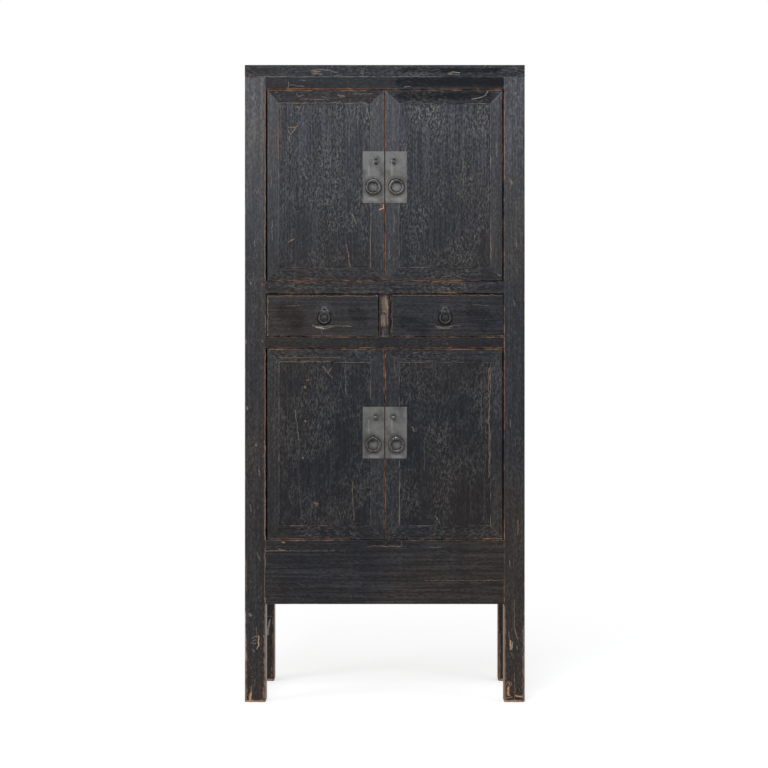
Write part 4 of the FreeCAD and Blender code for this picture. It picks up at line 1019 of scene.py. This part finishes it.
ring_metal = aged_metal("ring_metal", RING_TONES, 0.7, 0.26, 1.5)
washer_metal = aged_metal("washer_metal", WASHER_TONES, 0.4, 0.4, 1.5)
drawer_metal = aged_metal("drawer_metal", DRAWER_TONES, 0.6, 0.34, 1.5)
print("nodes in the metal", len(ring_metal.node_tree.nodes))

# %% Painted shadows and highlights on the face plates and the drawers
# Painted shadow round the washers and the rings, and a painted highlight inside a plate's ring
WASHER_REACH = 0.0088


def to_photo(x, z):
    """Where the photograph shows a point of the front plane."""
    return MIDDLE_COLUMN + x / METRES_PER_PIXEL, FLOOR_ROW - z / METRES_PER_PIXEL


def ring_in_photo(node):
    """The middle of a ring in the photograph, and its radius in millimetres."""
    low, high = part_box(node)
    column, row = to_photo((low.x + high.x) / 2, (low.z + high.z) / 2)
    return column, row, (high.x - low.x) / 2 * MM_PER_METRE


def plate_shadows_and_highlights(door):
    """Painted shadows and highlights round the eyes and the ring of a door, on its plate."""
    low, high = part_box(door + "_eyes")
    inner = min(low.x, high.x, key=abs)
    lock = to_photo(inner + math.copysign(WASHER_REACH, inner), high.z - WASHER_REACH)
    column, row, radius = ring_in_photo(door + "_ring")
    return [
        # Painted shadow round the washer of the padlock's eye, and under the eye of the ring
        (*lock, *lock, 1.6, "soot", WASHER_REACH * MM_PER_METRE + 0.6),
        (column - 2.4, row - 4.8, column + 2.4, row - 4.8, 3.6, "soot"),
        # Painted shadow round the ring, and a painted highlight inside it
        (column, row, column, row, 1.6, "smoke", radius + 1),
        (column - 0.5, row + 0.5, column + 0.8, row + 0.8, 8, "bright"),
        (column, row, column, row, 1.4, "smoke", radius + 6),
        # Lighter sheet above and below it
        (column - 4.5, row - 24, column - 4.3, row - 12, 3.4, "bright"),
        (column - 4, row + 12, column + 4, row + 12.6, 6, "bright"),
    ]


def drawer_ring_shadows(drawer):
    """Painted shadow: a dark rim inside and outside of a drawer's ring."""
    column, row, radius = ring_in_photo(drawer + "_ring")
    return [
        (column, row, column, row, 2.0, "soot", radius + 1.5),
        (column, row, column, row, 1.8, "soot", radius - 6.5),
        (column, row + 0.4, column, row + 0.4, 2.2, "soot", radius + 2.5),
    ]


# The plates and the drawers get their painted shadows and highlights as marks
for door in ("upper_door_left", "upper_door_right", "lower_door_left", "lower_door_right"):
    MARKS[door + "_plate"] = plate_shadows_and_highlights(door)
for drawer in ("drawer_left", "drawer_right"):
    MARKS[drawer + "_front"] += drawer_ring_shadows(drawer)
print("marks with the grime", sum(len(marks) for marks in MARKS.values()))


def plate_metal(node):
    return aged_metal(node, PLATE_TONES, 0.2, 0.54, 2.2)


# %% Dress every node
POST_ROUND = 0.0015
BOARD_ROUND = 0.001
THIN_ROUND = 0.0006

# Words in a node's name, its finishes board by board, and how far its arrises are rounded. The
# first row that fits counts; without one a node is bare wood
FINISHES = [
    ("post_", ["post"], POST_ROUND),
    ("top_frame", ["cornice"], POST_ROUND),
    ("upper_drawer_rail", ["cornice"], BOARD_ROUND),
    ("front_bottom_rail", ["apron"], BOARD_ROUND),
    ("top_panel", ["apron"], THIN_ROUND),
    ("drawer_divider", ["rail"], BOARD_ROUND),
    ("threshold_strip", ["rail"], THIN_ROUND),
    ("_apron", ["apron"], BOARD_ROUND),
    ("side_panels", ["panel"], 0),
    ("back_", [back_lacquer], THIN_ROUND),
    ("_plate", [plate_metal], 0),
    ("drawer_left_ring", [drawer_metal], 0),
    ("drawer_right_ring", [drawer_metal], 0),
    ("_ring", [ring_metal], 0),
    ("_eyes", [ring_metal, washer_metal], 0),
    ("_eye", [drawer_metal], 0),
    ("_panel", ["panel"], THIN_ROUND),
    ("_stiles", ["stile"], BOARD_ROUND),
    ("door_left_rails", ["door_rail"], BOARD_ROUND),
    ("door_right_rails", ["door_rail"], BOARD_ROUND),
    ("_front", ["drawer"], BOARD_ROUND),
    ("_rail", ["rail"], BOARD_ROUND),
]


def finish(node, one):
    """A finish is the word for a lacquer, a function that makes one for the node, or a material."""
    if isinstance(one, str):
        return lacquer_for(node, one)
    return one(node) if callable(one) else one


def finish_of(node):
    for words, finishes, width in FINISHES:
        if words in node:
            return [finish(node, one) for one in finishes], width
    return [bare_wood], THIN_ROUND


for node in sorted(frame["nodes"]):
    materials, width = finish_of(node)
    door_panel = "_door_" in node and node.endswith("_panel")
    drawer_front = node in ("drawer_left_front", "drawer_right_front")
    pick = front_arrises if door_panel or drawer_front else long_arrises
    dress(node, materials, width, pick, smooth=node.endswith(("_plate", "_ring", "_eye", "_eyes")))
print("dressed", len(dressed), "lacquers", len(shared))

# %% [markdown]
# ## Floor, sky and lamps
#
# The photograph is lit softly from the front, strongest high on the left, against plain white.

# %% Floor
FLOOR_REACH = 40
FLOOR_FADE = (0.7, 2.6)
FLOOR_COLOUR = (0.8, 0.8, 0.8, 1)
FLOOR_ROUGHNESS = 0.9
FLOOR_GLOW = 0.58
WHITE = (1, 1, 1, 1)
RAYS = ("Is Camera Ray", "Is Glossy Ray", "Is Transmission Ray")
floor_bm = bmesh.new()
bmesh.ops.create_grid(floor_bm, x_segments=1, y_segments=1, size=FLOOR_REACH)
floor_mesh = bpy.data.meshes.new("floor")
floor_bm.to_mesh(floor_mesh)
floor_bm.free()
floor = bpy.data.objects.new("floor", floor_mesh)
bpy.context.scene.collection.objects.link(floor)

# Near the cabinet the floor takes its shadow; further off it goes over into the white of the wall
floor_material, start, floor_shader = start_material("floor_white")
floor_shader.inputs["Base Color"].default_value = FLOOR_COLOUR
floor_shader.inputs["Roughness"].default_value = FLOOR_ROUGHNESS
floor_shader.inputs["Emission Color"].default_value = WHITE
seen, mirrored, through = [start.node("LightPath", {}, {}, kind) for kind in RAYS]
start.put(floor_shader.inputs["Emission Strength"], seen.most(mirrored).most(through) * FLOOR_GLOW)
spot = start.node("TexCoord", {}, {}, "Object")
far = spot.vector("LENGTH", (0, 0, 0), "Value").step(*FLOOR_FADE)
white = start.node("Emission", {}, {"Color": WHITE, "Strength": 1})
shaded = Wire(floor_material.node_tree, floor_shader.outputs[0])
both = start.node("MixShader", {}, {0: far, 1: shaded, 2: white})
output = floor_material.node_tree.nodes["Material Output"]
start.put(output.inputs["Surface"], both)
floor_mesh.materials.append(floor_material)
print("the floor is white beyond", FLOOR_FADE[1], "m")

# %% World
# Its strength for what it lights, and for what mirrors the side behind the camera
AMBIENT = 0.4
BEHIND_CAMERA = 0.4
BACKDROP_FROM = (-0.2, 0.3)
world = bpy.data.worlds.new("studio")
world.use_nodes = True
bpy.context.scene.world = world
sky = Wire(world.node_tree)
seen, mirrored, through = [sky.node("LightPath", {}, {}, kind) for kind in RAYS]
indirect = mirrored.most(through)
towards_back = sky.node("TexCoord", {}, {}, "Generated").parts()[1].step(*BACKDROP_FROM)
backdrop = indirect * (towards_back * (1 - BEHIND_CAMERA) + BEHIND_CAMERA)
strength = seen.most(backdrop.most(AMBIENT * (1 - indirect)))
background = world.node_tree.nodes["Background"]
background.inputs["Color"].default_value = WHITE
sky.put(background.inputs["Strength"], strength)


# %% Lamps
def soft_lamp(name, place, target, side, power, colour=(1, 1, 1)):
    """A square lamp with a side in metres and a power in watts, turned to its target."""
    data = bpy.data.lights.new(name, "AREA")
    data.shape = "SQUARE"
    data.size = side
    data.energy = power
    data.color = colour
    lamp = bpy.data.objects.new(name, data)
    lamp.location = place
    lamp.rotation_euler = (Vector(target) - Vector(place)).to_track_quat("-Z", "Y").to_euler()
    bpy.context.scene.collection.objects.link(lamp)


DAYLIGHT = (0.88, 0.94, 1.0)
soft_lamp("lamp_high", (-0.35, front_y - 3.6, 2.7), (0, front_y, 1.5), 1.5, 82, DAYLIGHT)
soft_lamp("lamp_left", (-3.4, front_y - 2.0, 1.6), (0, front_y, 0.9), 1.6, 35)
soft_lamp("lamp_right", (3.4, front_y - 2.0, 1.4), (0, front_y, 0.9), 1.6, 18)
bpy.context.scene.view_settings.view_transform = "Standard"
print("lamps", len(bpy.data.lights))
